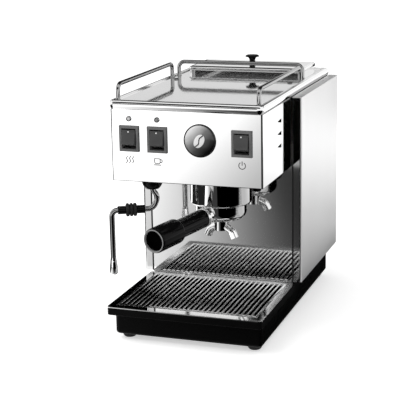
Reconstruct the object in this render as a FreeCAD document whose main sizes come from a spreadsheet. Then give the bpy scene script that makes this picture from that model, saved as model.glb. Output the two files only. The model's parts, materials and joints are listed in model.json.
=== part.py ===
import FreeCAD, Part
import Sketcher
import math
import os
import re
from FreeCAD import Placement, Rotation, Vector

# Espresso machine with one group. Millimetres, +Z up, front towards -Y, the table at z = 0.
# The splash plate's front face is the plane that the head, tray and rear body are placed from.

doc = FreeCAD.newDocument("espresso_machine")
sheet = doc.addObject("Spreadsheet::Sheet", "Sizes")

sizes = {
    # planes and sheet metal
    "splashY": 2.4, "gauge": 1.2, "seatGap": 0.3, "holeGap": 0.2,
    # base and feet
    "baseInset": 14, "baseReach": 154, "baseBack": 215.5, "baseBottom": 8, "baseWall": 1.5,
    "baseCorner": 8, "baseEdge": 4, "footRadius": 10, "footTread": 7.5, "footCurve": 8,
    "footSide": 15, "footInset": 19,
    # drip tray
    "trayInset": 9.5, "trayReach": 169, "trayTop": 51, "trayRim": 11.5, "trayCorner": 5, "trayHem": 1,
    "panWall": 2,
    "panDepth": 25, "panGap": 1, "frameBorder": 10, "frameFront": 13, "frameRear": 6, "gridLedge": 3,
    "slotCount": 28, "slotMargin": 6, "slotWidth": 4.2, "slotEnd": 4,
    # rear body
    "bodyWidth": 238, "bodyDepth": 217.5, "bodyBottom": 53, "bodyTop": 319, "panelCorner": 3,
    "panelEdge": 1.5,
    "flangeWidth": 12, "topFlange": 13.2, "sealWidth": 1.4, "splashFoot": 45,
    # head
    "headInset": 14, "headDepth": 142.5, "headBottom": 221.5, "headTop": 318, "headCorner": 2.5,
    "headEdge": 0.8,
    "louvreY": 54, "louvreLength": 21, "louvreHeight": 6.5, "louvreTop": 296, "louvreStep": 17,
    # cup tray, rails and lid
    "coverInset": 14.5, "coverFront": 144.5, "coverBack": 213, "coverTop": 330.4, "coverLip": 2,
    "coverRim": 4, "coverCorner": 7, "coverRound": 3.8, "coverHem": 2, "coverSkirt": 2.4, "fillWidth": 160,
    "fillFront": 126, "fillBack": 197,
    "railBar": 2.9, "railInset": 7.5, "railFront": 132, "railBack": 74, "rearRailInset": 9.8,
    "rearRailY": 97.3,
    "railTop": 349.5, "railBend": 9, "railNut": 5, "railNutHeight": 4.5, "screwInset": 18.5, "screwY": 60,
    "screwHead": 3.6, "screwHeight": 1.8, "screwShank": 2, "screwLength": 8,
    "lidWidth": 174, "lidFront": 120, "lidBack": 203, "lidTop": 340, "lidEdge": 5,
    "knobRadius": 9.5, "knobNeck": 4.4, "knobHeight": 14.5, "knobCap": 3.4,
    # water side
    "tankWidth": 172, "tankFront": 118, "tankBack": 206, "tankBottom": 130, "tankTop": 322, "tankWall": 2.5,
    "shelfFlange": 12, "hoseInset": 14, "hoseRadius": 5, "hoseBore": 3, "hoseBend": 14,
    "pumpY": 160, "pumpZ": 80, "pumpCoil": 24, "pumpCoilLength": 60, "pumpCollar": 12,
    "pumpCollarLength": 14,
    "pumpPort": 4, "pumpPortLength": 10, "pumpX": -8, "bracketWidth": 40, "bracketGauge": 2.5,
    # boiler and what stands on it
    "boilerX": 20, "boilerY": 62, "boilerRadius": 50, "boilerWall": 3, "boilerFoot": 20, "boilerDome": 8,
    "boilerShoulder": 22, "boilerHeight": 155, "boilerFlange": 54, "boilerRing": 6, "elementPlate": 6,
    "elementRod": 4, "elementReach": 110, "elementSpan": 22, "elementBend": 19, "elementY": -12,
    "valveRadius": 7, "valveNeck": 5, "valveSeat": 6, "valveShoulder": 19, "valveTip": 3.5,
    "valveHeight": 24,
    "pressureRadius": 10.5, "valveX": 25, "valveY": 22, "pipeRadius": 3, "pipeBend": 9,
    "groupPipeRadius": 4, "groupPipeBend": 13,
    "outletY": 30, "steamOutletX": 0, "steamRise": 12, "groupRise": 16, "inletX": -78, "inletZ": 200,
    "boxInset": 5, "boxWidth": 32, "boxFront": 12, "boxBack": 110, "boxHeight": 120,
    "solenoidSide": 28, "solenoidHeight": 34,
    # back panel and gland
    "glandX": -70, "glandZ": 82, "glandHole": 8, "glandFlange": 12, "glandBore": 4, "glandLength": 10,
    # switches, lamps and badge
    "switchZ": 279.5, "switchWidth": 27.6, "switchHeight": 34.6, "switchProud": 3, "switchBorder": 3.8,
    "switchBody": 25, "switchCut": 2.8, "switchInset": 26.5, "switchSpacing": 39.5, "powerInset": 28,
    "rockerHalf": 10.1, "rockerProud": 13.1, "rockerDip": 12.7, "rockerWaist": 3, "rockerFlank": 11.5,
    "rockerDeep": 2, "rockerBack": 8, "rockerAngle": 15, "rockerPivot": 7, "rockerGap": 0.4,
    "pivotPin": 1.5, "lampZ": 306, "lampRadius": 3.5, "lampStem": 2.8,
    "lampProud": 2.4, "lampStemLength": 12, "badgeX": 20, "badgeZ": 281, "badgeRadius": 22,
    "badgeRim": 1.4, "badgeLip": 1.6, "badgeDome": 2.4, "badgeStep": 0.5,
    # group
    "groupX": 25.6, "groupSetback": 76, "groupRadius": 42.5, "groupFoot": 184, "groupCurve": 4,
    "ledgeRadius": 36, "ledgeHeight": 5, "grooveRadius": 40.3, "gasketSeat": 209, "gasketOuter": 36.5,
    "gasketInner": 29.5, "gasketHeight": 8, "screenRadius": 29, "screenHeight": 5, "screenWall": 1,
    "screwBoss": 4, "screenScrew": 2.5, "neckRadius": 22, "neckTop": 245, "boltCircle": 66, "boltRadius": 3,
    "boltHead": 5, "boltHeadHeight": 6, "boltLength": 9, "boltCount": 4,
    # filter holder
    "bowlRadius": 35.2, "bowlWall": 3, "bowlFoot": 162, "bowlFloor": 5, "bowlTop": 199.5, "bowlCurve": 11,
    "lugReach": 39.7, "lugHeight": 6.5, "lugWidth": 20, "entryAngle": 45, "handleAngle": 15.2,
    "slopeAngle": 2.5, "handleZ": 173,
    "bossRadius": 11, "bossEnd": 41, "ferruleRadius": 13, "ferruleLength": 6, "neckOuter": 12.7,
    "gripRadius": 16.5, "neckLength": 54, "gripLength": 55, "gripCurve": 2.5, "endRing": 13.5,
    "endRecess": 5,
    "basketRadius": 30.4, "basketWall": 0.8, "basketRim": 34.4, "basketRimHeight": 1.1, "basketFloor": 172,
    "springRadius": 31.3, "springWire": 0.6, "springZ": 190, "stemRadius": 9.8, "stemFoot": 145,
    "stemBore": 6, "spoutReach": 21.8, "spoutElbow": 17.5, "spoutFoot": 135.5, "spoutRadius": 5.4,
    "spoutBore": 3.6, "spoutBend": 8,
    # steam wand
    "wandOffset": 21, "wandSetback": 118, "swingAngle": 28, "socketRadius": 14, "socketFoot": 207.8,
    "socketMouth": 6.6, "socketLip": 9, "socketCurve": 15, "ballRadius": 7, "ballZ": 213.5,
    "socketCavity": 8.5,
    "socketSeat": 210, "seatHeight": 2.6, "seatHole": 5.4, "tubeRadius": 3.7, "wandDrop": 8, "wandSway": 7,
    "wandKneeZ": 196.5, "wandArmZ": 179.5, "wandArmStart": -1, "wandReach": 56, "wandFirstBend": 7,
    "nutRadius": 5.6, "nutStart": 11, "nutLength": 11, "gripSleeve": 9, "sleeveLength": 15, "ribCount": 3,
    "ribDepth": 2, "nozzleTop": 114, "nozzleTip": 90, "nozzleRadius": 5.6, "nozzleBore": 2,
    "nozzleCurve": 3,
}

for row, (alias, amount) in enumerate(sizes.items(), 1):
    sheet.set(f"A{row}", alias)
    sheet.set(f"B{row}", str(amount))
    sheet.setAlias(f"B{row}", alias)
doc.recompute()

nodes = []


def bound(expression):
    return re.sub(r"[A-Za-z]\w*", lambda word: f"Sizes.{word[0]}" if word[0] in sizes else word[0],
                  expression)


def amount(expression):
    return float(sheet.evalExpression(expression))


def bind(item, path, expression):
    item.setExpression(path, bound(expression))


def place(item, x, y, z, rotation=Rotation()):
    item.Placement = Placement(Vector(amount(x), amount(y), amount(z)), rotation)
    bind(item, "Placement.Base.x", x)
    bind(item, "Placement.Base.y", y)
    bind(item, "Placement.Base.z", z)


def keep(item, label):
    item.Label = label
    nodes.append(item)
    return item


# Part primitives

alongX = Rotation(Vector(0, 1, 0), 90)
alongY = Rotation(Vector(1, 0, 0), -90)
outward = Rotation(Vector(1, 0, 0), 90)


def box(x0, x1, y0, y1, z0, z1):
    item = doc.addObject("Part::Box", "Block")
    bind(item, "Length", f"({x1}) - ({x0})")
    bind(item, "Width", f"({y1}) - ({y0})")
    bind(item, "Height", f"({z1}) - ({z0})")
    place(item, x0, y0, z0)
    return item


def cylinder(x, y, z, radius, height, rotation=Rotation()):
    item = doc.addObject("Part::Cylinder", "Round")
    bind(item, "Radius", radius)
    bind(item, "Height", height)
    place(item, x, y, z, rotation)
    return item


def fuse(items):
    item = doc.addObject("Part::MultiFuse", "Fusion")
    item.Shapes = items
    return item


def cut(base, tools):
    item = doc.addObject("Part::Cut", "Cut")
    item.Base = base
    item.Tool = tools[0] if len(tools) == 1 else fuse(tools)
    return item


def group(items):
    item = doc.addObject("Part::Compound", "Group")
    item.Links = items
    return item


def shaped(shape):
    item = doc.addObject("Part::Feature", "Shaped")
    item.Shape = shape
    return item


# PartDesign bodies

def newBody(label):
    body = doc.addObject("PartDesign::Body", label)
    body.Label = label
    return body


def sketchOn(body, role, lift="0"):
    sketch = body.newObject("Sketcher::SketchObject", "Sketch")
    plane = next(item for item in body.Origin.OriginFeatures if item.Role == role)
    sketch.AttachmentSupport = [(plane, "")]
    sketch.MapMode = "FlatFace"
    sketch.AttachmentOffset = Placement(Vector(0, 0, amount(lift)), Rotation())
    bind(sketch, "AttachmentOffset.Base.z", lift)
    return sketch


def pin(sketch, kind, geometry, end, expression):
    axis = {"DistanceX": -2, "DistanceY": -1}[kind]
    if expression == "0":
        sketch.addConstraint(Sketcher.Constraint("PointOnObject", geometry, end, axis))
        return
    index = sketch.addConstraint(Sketcher.Constraint(kind, -1, 1, geometry, end, amount(expression)))
    sketch.setExpression(f"Constraints[{index}]", bound(expression))


def arcBetween(start, end, radius, turn):
    chord = end - start
    half = chord.Length / 2
    rise = math.sqrt(max(radius * radius - half * half, 0))
    normal = Vector(-chord.y, chord.x, 0).normalize()
    centre = start + chord * 0.5 + normal * rise * turn
    first, last = (start, end) if turn > 0 else (end, start)
    angles = [math.atan2(p.y - centre.y, p.x - centre.x) for p in (first, last)]
    return Part.ArcOfCircle(Part.Circle(centre, Vector(0, 0, 1), radius), *angles)


# A closed outline: each corner is (u, v), or (u, v, radius, turn) where an arc leads to the next one.
# Turn is 1 for an arc that runs anticlockwise and -1 for a clockwise one.
def outline(sketch, corners):
    points = [Vector(amount(corner[0]), amount(corner[1]), 0) for corner in corners]
    count = len(corners)
    base = sketch.GeometryCount
    ends = []
    for i, corner in enumerate(corners):
        start, end = points[i], points[(i + 1) % count]
        if len(corner) == 2:
            sketch.addGeometry(Part.LineSegment(start, end), False)
            ends.append((1, 2))
        else:
            sketch.addGeometry(arcBetween(start, end, amount(corner[2]), corner[3]), False)
            ends.append((1, 2) if corner[3] > 0 else (2, 1))
    for i, corner in enumerate(corners):
        after = (i + 1) % count
        sketch.addConstraint(
            Sketcher.Constraint("Coincident", base + i, ends[i][1], base + after, ends[after][0]))
        pin(sketch, "DistanceX", base + i, ends[i][0], corner[0])
        pin(sketch, "DistanceY", base + i, ends[i][0], corner[1])
        if len(corner) == 4:
            index = sketch.addConstraint(Sketcher.Constraint("Radius", base + i, amount(corner[2])))
            sketch.setExpression(f"Constraints[{index}]", bound(corner[2]))
    return sketch


def rectangle(sketch, u0, u1, v0, v1):
    return outline(sketch, [(u0, v0), (u1, v0), (u1, v1), (u0, v1)])


def add(body, kind, sketch, length, reverse=False):
    feature = body.newObject(f"PartDesign::{kind}", kind)
    feature.Profile = sketch
    bind(feature, "Length", length)
    feature.Reversed = reverse
    body.Tip = feature
    return feature


def spun(label, corners, x, y, z, rotation=Rotation()):
    body = newBody(label)
    sketch = outline(sketchOn(body, "XZ_Plane"), corners)
    turn = body.newObject("PartDesign::Revolution", "Turn")
    turn.Profile = sketch
    turn.ReferenceAxis = (sketch, ["V_Axis"])
    turn.Angle = 360
    body.Tip = turn
    place(body, x, y, z, rotation)
    return body


def rounded(body, radius, wanted):
    doc.recompute()
    last = body.Tip
    names = [f"Edge{i}" for i, edge in enumerate(last.Shape.Edges, 1) if wanted(edge)]
    feature = body.newObject("PartDesign::Fillet", "Round")
    feature.Base = (last, names)
    bind(feature, "Radius", radius)
    body.Tip = feature
    return feature


def near(first, second):
    return abs(first - second) < 0.01


def upright(edge):
    low, high = edge.Vertexes[0].Point, edge.Vertexes[-1].Point
    return near(low.x, high.x) and near(low.y, high.y) and abs(low.z - high.z) > 0.1


def levelAt(edge, z):
    return near(edge.BoundBox.ZMin, z) and near(edge.BoundBox.ZMax, z)


# Bent rods and pipes: straight runs joined by tangent arcs

def route(points, bend):
    edges = []
    start = points[0]
    for before, corner, after in zip(points, points[1:], points[2:]):
        back = (before - corner).normalize()
        ahead = (after - corner).normalize()
        half = back.getAngle(ahead) / 2
        reach = bend / math.tan(half)
        middle = corner + (back + ahead).normalize() * (bend / math.sin(half) - bend)
        edges.append(Part.LineSegment(start, corner + back * reach).toShape())
        edges.append(Part.Arc(corner + back * reach, middle, corner + ahead * reach).toShape())
        start = corner + ahead * reach
    edges.append(Part.LineSegment(start, points[-1]).toShape())
    return Part.Wire(edges)


def rod(points, radius, bend):
    ring = Part.Wire(Part.makeCircle(radius, points[0], points[1] - points[0]))
    return route(points, bend).makePipeShell([ring], True, False)


def spot(x, y, z):
    return Vector(amount(x), amount(y), amount(z))


# Radius of the ball cap that has this half width and rise
def capRadius(width, rise):
    return f"((({width}) ^ 2 + ({rise}) ^ 2) / (2 * ({rise})))"


# Widths that follow the rear body, and the shared planes and places
baseWidth = "(bodyWidth - 2 * baseInset)"
trayWidth = "(bodyWidth - 2 * trayInset)"
headWidth = "(bodyWidth - 2 * headInset)"
coverWidth = "(bodyWidth - 2 * coverInset)"
railX = f"({coverWidth} / 2 - railInset)"
rearRailX = f"({coverWidth} / 2 - rearRailInset)"
screwX = f"({coverWidth} / 2 - screwInset)"
steamSwitchX = f"(switchInset - {headWidth} / 2)"
coffeeSwitchX = f"({steamSwitchX} + switchSpacing)"
powerSwitchX = f"({headWidth} / 2 - powerInset)"
wandX = f"({steamSwitchX} + wandOffset)"
hoseX = "(tankWidth / 2 - hoseInset)"
gripStart = "(bossEnd + ferruleLength + neckLength)"
gripEnd = f"({gripStart} + gripLength)"
headFront = "(splashY - headDepth)"
bodyBack = "(splashY + bodyDepth)"
splashGauge = "(baseWall)"
coverFloor = "(coverTop - coverLip)"
groupY = "(splashY - groupSetback)"
wandY = "(splashY - wandSetback)"
boilerDepth = "(splashY + boilerY)"
tankFrontY = "(splashY + tankFront)"
rimFoot = "(trayTop - trayRim)"


# Base: a pressed black tub with a bay for the drip tray in front and one for the pump behind.
def makeBase():
    body = newBody("base_frame")
    floor = sketchOn(body, "XY_Plane", "baseBottom")
    rectangle(floor, f"-{baseWidth} / 2", f"{baseWidth} / 2", "splashY - baseReach", "splashY + baseBack")
    add(body, "Pad", floor, "bodyBottom - baseBottom")
    rounded(body, "baseCorner", upright)
    rounded(body, "baseEdge", lambda edge: levelAt(edge, amount("baseBottom")))
    inner = f"({baseWidth} / 2 - baseWall)"
    bays = [("splashY - baseReach + baseWall", "splashY"),
            ("splashY + baseWall", "splashY + baseBack - baseWall")]
    for front, back in bays:
        bay = sketchOn(body, "XY_Plane", "bodyBottom")
        rectangle(bay, f"-{inner}", inner, front, back)
        add(body, "Pocket", bay, "bodyBottom - baseBottom - baseWall")
    sill = sketchOn(body, "XY_Plane", "bodyBottom")
    rectangle(sill, f"-{baseWidth}", baseWidth, "splashY - baseReach - baseWall", "splashY")
    add(body, "Pocket", sill, f"bodyBottom - {rimFoot}")
    step = sketchOn(body, "XY_Plane", "bodyBottom")
    rectangle(step, f"-{baseWidth}", baseWidth, "splashY - baseWall", f"splashY + {splashGauge}")
    add(body, "Pocket", step, "bodyBottom - splashFoot")
    keep(body, "base_frame")


# Feet: rubber buttons with a rounded side and a flat tread.
def makeFeet():
    feet = []
    for x in (f"footSide - {baseWidth} / 2", f"{baseWidth} / 2 - footSide"):
        for y in ("splashY - baseReach + footInset", "splashY + baseBack - footInset"):
            side = [("0", "0"), ("footTread", "0", "footCurve", 1), ("footRadius", "baseBottom"),
                    ("0", "baseBottom")]
            feet.append(spun("foot", side, x, y, "0"))
    keep(group(feet), "rubber_feet")


# Drip tray: a pan with a deep overhanging rim, a steel surround on the rim and a slotted grid.
def makeTray():
    half = f"({trayWidth} / 2)"
    front = "(splashY - trayReach)"
    back = "(splashY - panGap)"
    deck = "(trayTop - gauge)"
    openX = f"({half} - frameBorder)"
    openFront = f"({front} + frameFront)"
    openBack = f"({back} - frameRear)"
    panX = f"({baseWidth} / 2 - baseWall - panGap)"
    panFront = "(splashY - baseReach + baseWall + panGap)"
    panFoot = f"({rimFoot} - panDepth)"

    body = newBody("drip_pan")
    rim = sketchOn(body, "XY_Plane", rimFoot)
    rectangle(rim, f"-{half}", half, front, back)
    add(body, "Pad", rim, f"{deck} - {rimFoot}")
    rounded(body, "trayCorner", upright)
    rounded(body, "trayHem", lambda edge: levelAt(edge, amount(rimFoot)) and not near(
        edge.BoundBox.YMin, amount(back)))
    well = sketchOn(body, "XY_Plane", rimFoot)
    rectangle(well, f"-{panX}", panX, panFront, back)
    add(body, "Pad", well, "panDepth", True)
    ledgeX = f"({openX} - gridLedge)"
    mouth = sketchOn(body, "XY_Plane", deck)
    rectangle(mouth, f"-{ledgeX}", ledgeX, f"{panFront} + panWall", f"{openBack} - gridLedge")
    add(body, "Pocket", mouth, f"{deck} - {panFoot} - panWall")
    keep(body, "drip_pan")

    body = newBody("tray_surround")
    plate = sketchOn(body, "XY_Plane", deck)
    rectangle(plate, f"-{half}", half, front, back)
    add(body, "Pad", plate, "gauge")
    rounded(body, "trayCorner", upright)
    window = sketchOn(body, "XY_Plane", "trayTop")
    rectangle(window, f"-{openX}", openX, openFront, openBack)
    add(body, "Pocket", window, "gauge")
    keep(body, "tray_surround")

    body = newBody("drip_grid")
    gridX = f"({openX} - seatGap)"
    gridFront = f"({openFront} + seatGap)"
    gridBack = f"({openBack} - seatGap)"
    plate = sketchOn(body, "XY_Plane", deck)
    rectangle(plate, f"-{gridX}", gridX, gridFront, gridBack)
    add(body, "Pad", plate, "gauge")
    first = f"(slotMargin - {gridX})"
    pitch = f"(2 * ({gridX} - slotMargin) / (slotCount - 1))"
    slot = sketchOn(body, "XY_Plane", "trayTop")
    rectangle(slot, f"{first} - slotWidth / 2", f"{first} + slotWidth / 2",
              f"{gridFront} + gridLedge + slotEnd", f"{gridBack} - gridLedge - slotEnd")
    opening = add(body, "Pocket", slot, "gauge")
    doc.recompute()
    row = body.newObject("PartDesign::LinearPattern", "Slots")
    row.Originals = [opening]
    row.Direction = (slot, ["H_Axis"])
    bind(row, "Length", f"{pitch} * (slotCount - 1)")
    bind(row, "Occurrences", "slotCount")
    body.Tip = row
    keep(body, "drip_grid")


# Rear body: two folded side panels, the back panel with its cord gland and the polished splash plate.
def makeRearBody():
    for label, sign in (("side_panel_left", "-1"), ("side_panel_right", "1")):
        outer = f"({sign} * bodyWidth / 2)"
        inner = f"({sign} * (bodyWidth / 2 - gauge))"
        lip = f"({sign} * (bodyWidth / 2 - flangeWidth))"
        body = newBody(label)
        section = sketchOn(body, "XY_Plane", "bodyBottom")
        outline(section, [
            (lip, "splashY"), (outer, "splashY"), (outer, bodyBack), (lip, bodyBack),
            (lip, f"{bodyBack} - gauge"), (inner, f"{bodyBack} - gauge"), (inner, "splashY + gauge"),
            (lip, "splashY + gauge")])
        add(body, "Pad", section, "bodyTop - bodyBottom")
        top = sketchOn(body, "XY_Plane", "bodyTop - gauge")
        edge = f"{sign} * (bodyWidth / 2 - topFlange)"
        rectangle(top, edge, outer, "splashY", bodyBack)
        add(body, "Pad", top, "gauge")
        rounded(body, "panelCorner", lambda edge: upright(edge) and abs(abs(edge.BoundBox.XMax) - amount(
            "bodyWidth / 2")) < 0.01 and near(edge.BoundBox.YMin, amount("splashY")))
        rounded(body, "panelEdge", lambda edge: levelAt(edge, amount("bodyTop")) and (
            edge.Length > amount("2 * gauge")) and max(abs(edge.BoundBox.XMin), abs(
                edge.BoundBox.XMax)) > amount("bodyWidth / 2 - gauge"))
        keep(body, label)

    panelX = "(bodyWidth / 2 - gauge)"
    back = box(f"-{panelX}", panelX, f"{bodyBack} - 2 * gauge", f"{bodyBack} - gauge", "bodyBottom",
               "bodyTop - gauge")
    hole = cylinder("glandX", f"{bodyBack} - 3 * gauge", "glandZ", "glandHole + holeGap", "3 * gauge",
                    alongY)
    keep(cut(back, [hole]), "back_panel")
    collar = [("glandBore", "0"), ("glandHole", "0"), ("glandHole", "gauge"), ("glandFlange", "gauge"),
              ("glandFlange", "2 * gauge"), ("glandHole", "3 * gauge"),
              ("glandBore + gauge", "glandLength"),
              ("glandBore", "glandLength")]
    gland = spun("cord_gland", collar, "glandX", f"{bodyBack} - 2 * gauge", "glandZ", alongY)
    keep(gland, "cord_gland")

    splashX = "(bodyWidth / 2 - flangeWidth - sealWidth)"
    plate = box(f"-{splashX}", splashX, "splashY", f"splashY + {splashGauge}", "splashFoot", "headBottom")
    keep(plate, "backsplash_plate")
    seals = []
    for low, high in ((f"-{splashX} - sealWidth", f"-{splashX}"), (splashX, f"{splashX} + sealWidth")):
        seals.append(box(low, high, "splashY + seatGap", "splashY + 2 * gauge", "bodyBottom", "headBottom"))
    keep(group(seals), "seam_seals")

    shelfX = "(bodyWidth / 2 - gauge)"
    shelfFront = f"splashY + {splashGauge} + gauge"
    shelfBack = f"{bodyBack} - 2 * gauge"
    plate = box(f"-{shelfX}", shelfX, shelfFront, shelfBack, "tankBottom - gauge", "tankBottom")
    left = box(f"-{shelfX}", f"-{shelfX} + gauge", shelfFront, shelfBack, "tankBottom - shelfFlange",
               "tankBottom")
    right = box(f"{shelfX} - gauge", shelfX, shelfFront, shelfBack, "tankBottom - shelfFlange",
                "tankBottom")
    low = "tankBottom - 2 * gauge"
    hose = cylinder(hoseX, "splashY + pumpY", low, "hoseRadius + holeGap", "3 * gauge")
    pipe = cylinder("inletX", boilerDepth, low, "pipeRadius + holeGap", "3 * gauge")
    keep(cut(fuse([plate, left, right]), [hose, pipe]), "inner_shelf")


# Head: one folded sheet for the front and sides, with cut-outs, closed below by a floor plate.
switchPlaces = {"steam": steamSwitchX, "coffee": coffeeSwitchX, "power": powerSwitchX}
lampPlaces = (steamSwitchX, coffeeSwitchX)


def makeHead():
    half = f"({headWidth} / 2)"
    body = newBody("head_sheet")
    section = sketchOn(body, "XY_Plane", "headBottom")
    outline(section, [
        (f"-{half}", headFront), (half, headFront), (half, "splashY"), (f"{half} - gauge", "splashY"),
        (f"{half} - gauge", f"{headFront} + gauge"), (f"-{half} + gauge", f"{headFront} + gauge"),
        (f"-{half} + gauge", "splashY"), (f"-{half}", "splashY")])
    add(body, "Pad", section, "headTop - headBottom")
    rounded(body, "headCorner", lambda edge: upright(edge) and near(edge.BoundBox.YMin, amount(headFront)))
    rounded(body, "headEdge", lambda edge: levelAt(edge, amount("headBottom")) and (
        edge.Length > amount("2 * gauge")) and (
            max(abs(edge.BoundBox.XMin), abs(edge.BoundBox.XMax)) > amount(f"{half} - headEdge")
            or edge.BoundBox.YMin < amount(f"{headFront} + headEdge")))
    cuts = []
    for x in switchPlaces.values():
        wide = "(switchWidth / 2 - switchCut + holeGap)"
        tall = "(switchHeight / 2 - switchCut + holeGap)"
        cuts.append(box(f"{x} - {wide}", f"{x} + {wide}", f"{headFront} - gauge",
                        f"{headFront} + 2 * gauge",
                        f"switchZ - {tall}", f"switchZ + {tall}"))
    for x in lampPlaces:
        cuts.append(cylinder(x, f"{headFront} - gauge", "lampZ", "lampStem + holeGap", "3 * gauge", alongY))
    for number in range(3):
        z = f"(louvreTop - {number} * louvreStep)"
        vent = newBody("vent")
        slit = sketchOn(vent, "YZ_Plane", f"-{headWidth}")
        rear = "splashY - louvreY"
        outline(slit, [(rear, f"{z} - louvreHeight / 2"), (rear, f"{z} + louvreHeight / 2"),
                       (f"{rear} - louvreLength", f"{z} + louvreHeight / 6")])
        add(vent, "Pad", slit, f"2 * {headWidth}")
        cuts.append(vent)
    keep(cut(body, cuts), "head_shell")

    plate = box(f"-{half} + gauge", f"{half} - gauge", f"{headFront} + gauge", "splashY", "headBottom",
                "headBottom + gauge")
    low = "headBottom - gauge"
    deep = "3 * gauge"
    holes = [cylinder("groupX", groupY, low, "neckRadius + holeGap", deep),
             cylinder(wandX, wandY, low, "socketCavity", deep)]
    for x, y in boltPlaces():
        holes.append(cylinder(x, y, low, "boltRadius + holeGap", deep))
    keep(cut(plate, holes), "head_floor")


def boltPlaces():
    places = []
    for number in range(int(amount("boltCount"))):
        angle = f"(360 deg * ({number} + 0.5) / boltCount)"
        places.append((f"groupX + boltCircle / 2 * cos({angle})",
                       f"{groupY} + boltCircle / 2 * sin({angle})"))
    return places


# Cup tray: the top cover, a shallow pressed tray with a rounded rim and a filling hole behind.
def railEnds():
    sides = [(f"{sign} * {railX}", y) for sign in ("-1", "1") for y in ("splashY - railFront",
                                                                      "splashY + railBack")]
    return sides + [(f"{sign} * {rearRailX}", "splashY + rearRailY") for sign in ("-1", "1")]


def makeCover():
    half = f"({coverWidth} / 2)"
    front = "(splashY - coverFront)"
    back = "(splashY + coverBack)"
    body = newBody("cover_pressing")
    slab = sketchOn(body, "XY_Plane", "headTop")
    rectangle(slab, f"-{half}", half, front, back)
    add(body, "Pad", slab, "coverTop - headTop")
    rounded(body, "coverCorner", upright)
    rounded(body, "coverRound", lambda edge: levelAt(edge, amount("coverTop")))
    rounded(body, "coverHem", lambda edge: levelAt(edge, amount("headTop")))
    inner = f"({half} - coverRim)"
    dish = sketchOn(body, "XY_Plane", "coverTop")
    rectangle(dish, f"-{inner}", inner, f"{front} + coverRim", f"{back} - coverRim")
    add(body, "Pocket", dish, "coverLip")
    under = sketchOn(body, "XY_Plane", "headTop")
    rectangle(under, f"-{half} + coverSkirt", f"{half} - coverSkirt", f"{front} + coverSkirt",
              f"{back} - coverSkirt")
    add(body, "Pocket", under, f"{coverFloor} - gauge - headTop", True)
    low = f"{coverFloor} - 2 * gauge"
    deep = "3 * gauge"
    holes = [box("-fillWidth / 2", "fillWidth / 2", "splashY + fillFront", "splashY + fillBack", low,
                 "coverTop")]
    for x, y in railEnds():
        holes.append(cylinder(x, y, low, "railBar + holeGap", deep))
    for sign in ("-1", "1"):
        holes.append(cylinder(f"{sign} * {screwX}", "splashY + screwY", low, "screwShank + holeGap", deep))
    keep(cut(body, holes), "cup_tray")

    foot = f"{coverFloor} - gauge - railNutHeight - gauge"
    rails = {
        "cup_rail_left": [(f"-{railX}", "splashY - railFront"), (f"-{railX}", "splashY + railBack")],
        "cup_rail_right": [(railX, "splashY - railFront"), (railX, "splashY + railBack")],
        "cup_rail_rear": [(f"-{rearRailX}", "splashY + rearRailY"), (rearRailX, "splashY + rearRailY")]}
    for label, ((x0, y0), (x1, y1)) in rails.items():
        path = [spot(x0, y0, foot), spot(x0, y0, "railTop"), spot(x1, y1, "railTop"), spot(x1, y1, foot)]
        keep(shaped(rod(path, amount("railBar"), amount("railBend"))), label)

    nuts = []
    for x, y in railEnds():
        prism = doc.addObject("Part::Prism", "Hexagon")
        prism.Polygon = 6
        bind(prism, "Circumradius", "railNut")
        bind(prism, "Height", "railNutHeight")
        place(prism, x, y, f"{coverFloor} - gauge - railNutHeight")
        bore = cylinder(x, y, f"{coverFloor} - 2 * gauge - railNutHeight", "railBar + holeGap / 2",
                        "railNutHeight + 2 * gauge")
        nuts.append(cut(prism, [bore]))
    keep(group(nuts), "rail_nuts")

    screws = []
    for sign in ("-1", "1"):
        shank = [("0", "-screwLength"), ("screwShank", "-screwLength"), ("screwShank", "0"),
                 ("screwHead", "0"),
                 ("screwHead", "screwHeight / 3", capRadius("screwHead", "screwHeight * 2 / 3"), 1),
                 ("0", "screwHeight")]
        screws.append(spun("cover_screw", shank, f"{sign} * {screwX}", "splashY + screwY", coverFloor))
    keep(group(screws), "cover_screws")


# Reservoir: the lid with its mushroom knob, and the tank below it on the shelf.
def makeReservoir():
    half = "(lidWidth / 2)"
    front = "(splashY + lidFront)"
    back = "(splashY + lidBack)"
    body = newBody("reservoir_lid")
    slab = sketchOn(body, "XY_Plane", coverFloor)
    rectangle(slab, f"-{half}", half, front, back)
    add(body, "Pad", slab, f"lidTop - {coverFloor}")
    rounded(body, "lidEdge", lambda edge: upright(edge) or levelAt(edge, amount("lidTop")))
    hollow = sketchOn(body, "XY_Plane", coverFloor)
    inner = f"({half} - lidEdge)"
    rectangle(hollow, f"-{inner}", inner, f"{front} + lidEdge", f"{back} - lidEdge")
    add(body, "Pocket", hollow, f"lidTop - gauge - {coverFloor}", True)
    keep(body, "reservoir_lid")

    flare = "(knobRadius - knobNeck)"
    side = [("0", "0"), ("knobNeck", "0"), ("knobNeck", f"knobHeight - knobCap - {flare}", flare, -1),
            ("knobRadius", "knobHeight - knobCap"),
            ("knobRadius", "knobHeight - knobCap / 2", capRadius("knobRadius", "knobCap / 2"), 1),
            ("0", "knobHeight")]
    knob = spun("lid_knob", side, "0", f"({front} + {back}) / 2", "lidTop")
    keep(knob, "lid_knob")

    half = "(tankWidth / 2)"
    back = "(splashY + tankBack)"
    shell = box(f"-{half}", half, tankFrontY, back, "tankBottom", "tankTop")
    inside = box(f"-{half} + tankWall", f"{half} - tankWall", f"{tankFrontY} + tankWall",
                 f"{back} - tankWall",
                 "tankBottom + tankWall", "tankTop + tankWall")
    port = cylinder(hoseX, "splashY + pumpY", "tankBottom - tankWall", "hoseBore", "3 * tankWall")
    keep(cut(shell, [inside, port]), "water_tank")


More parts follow.
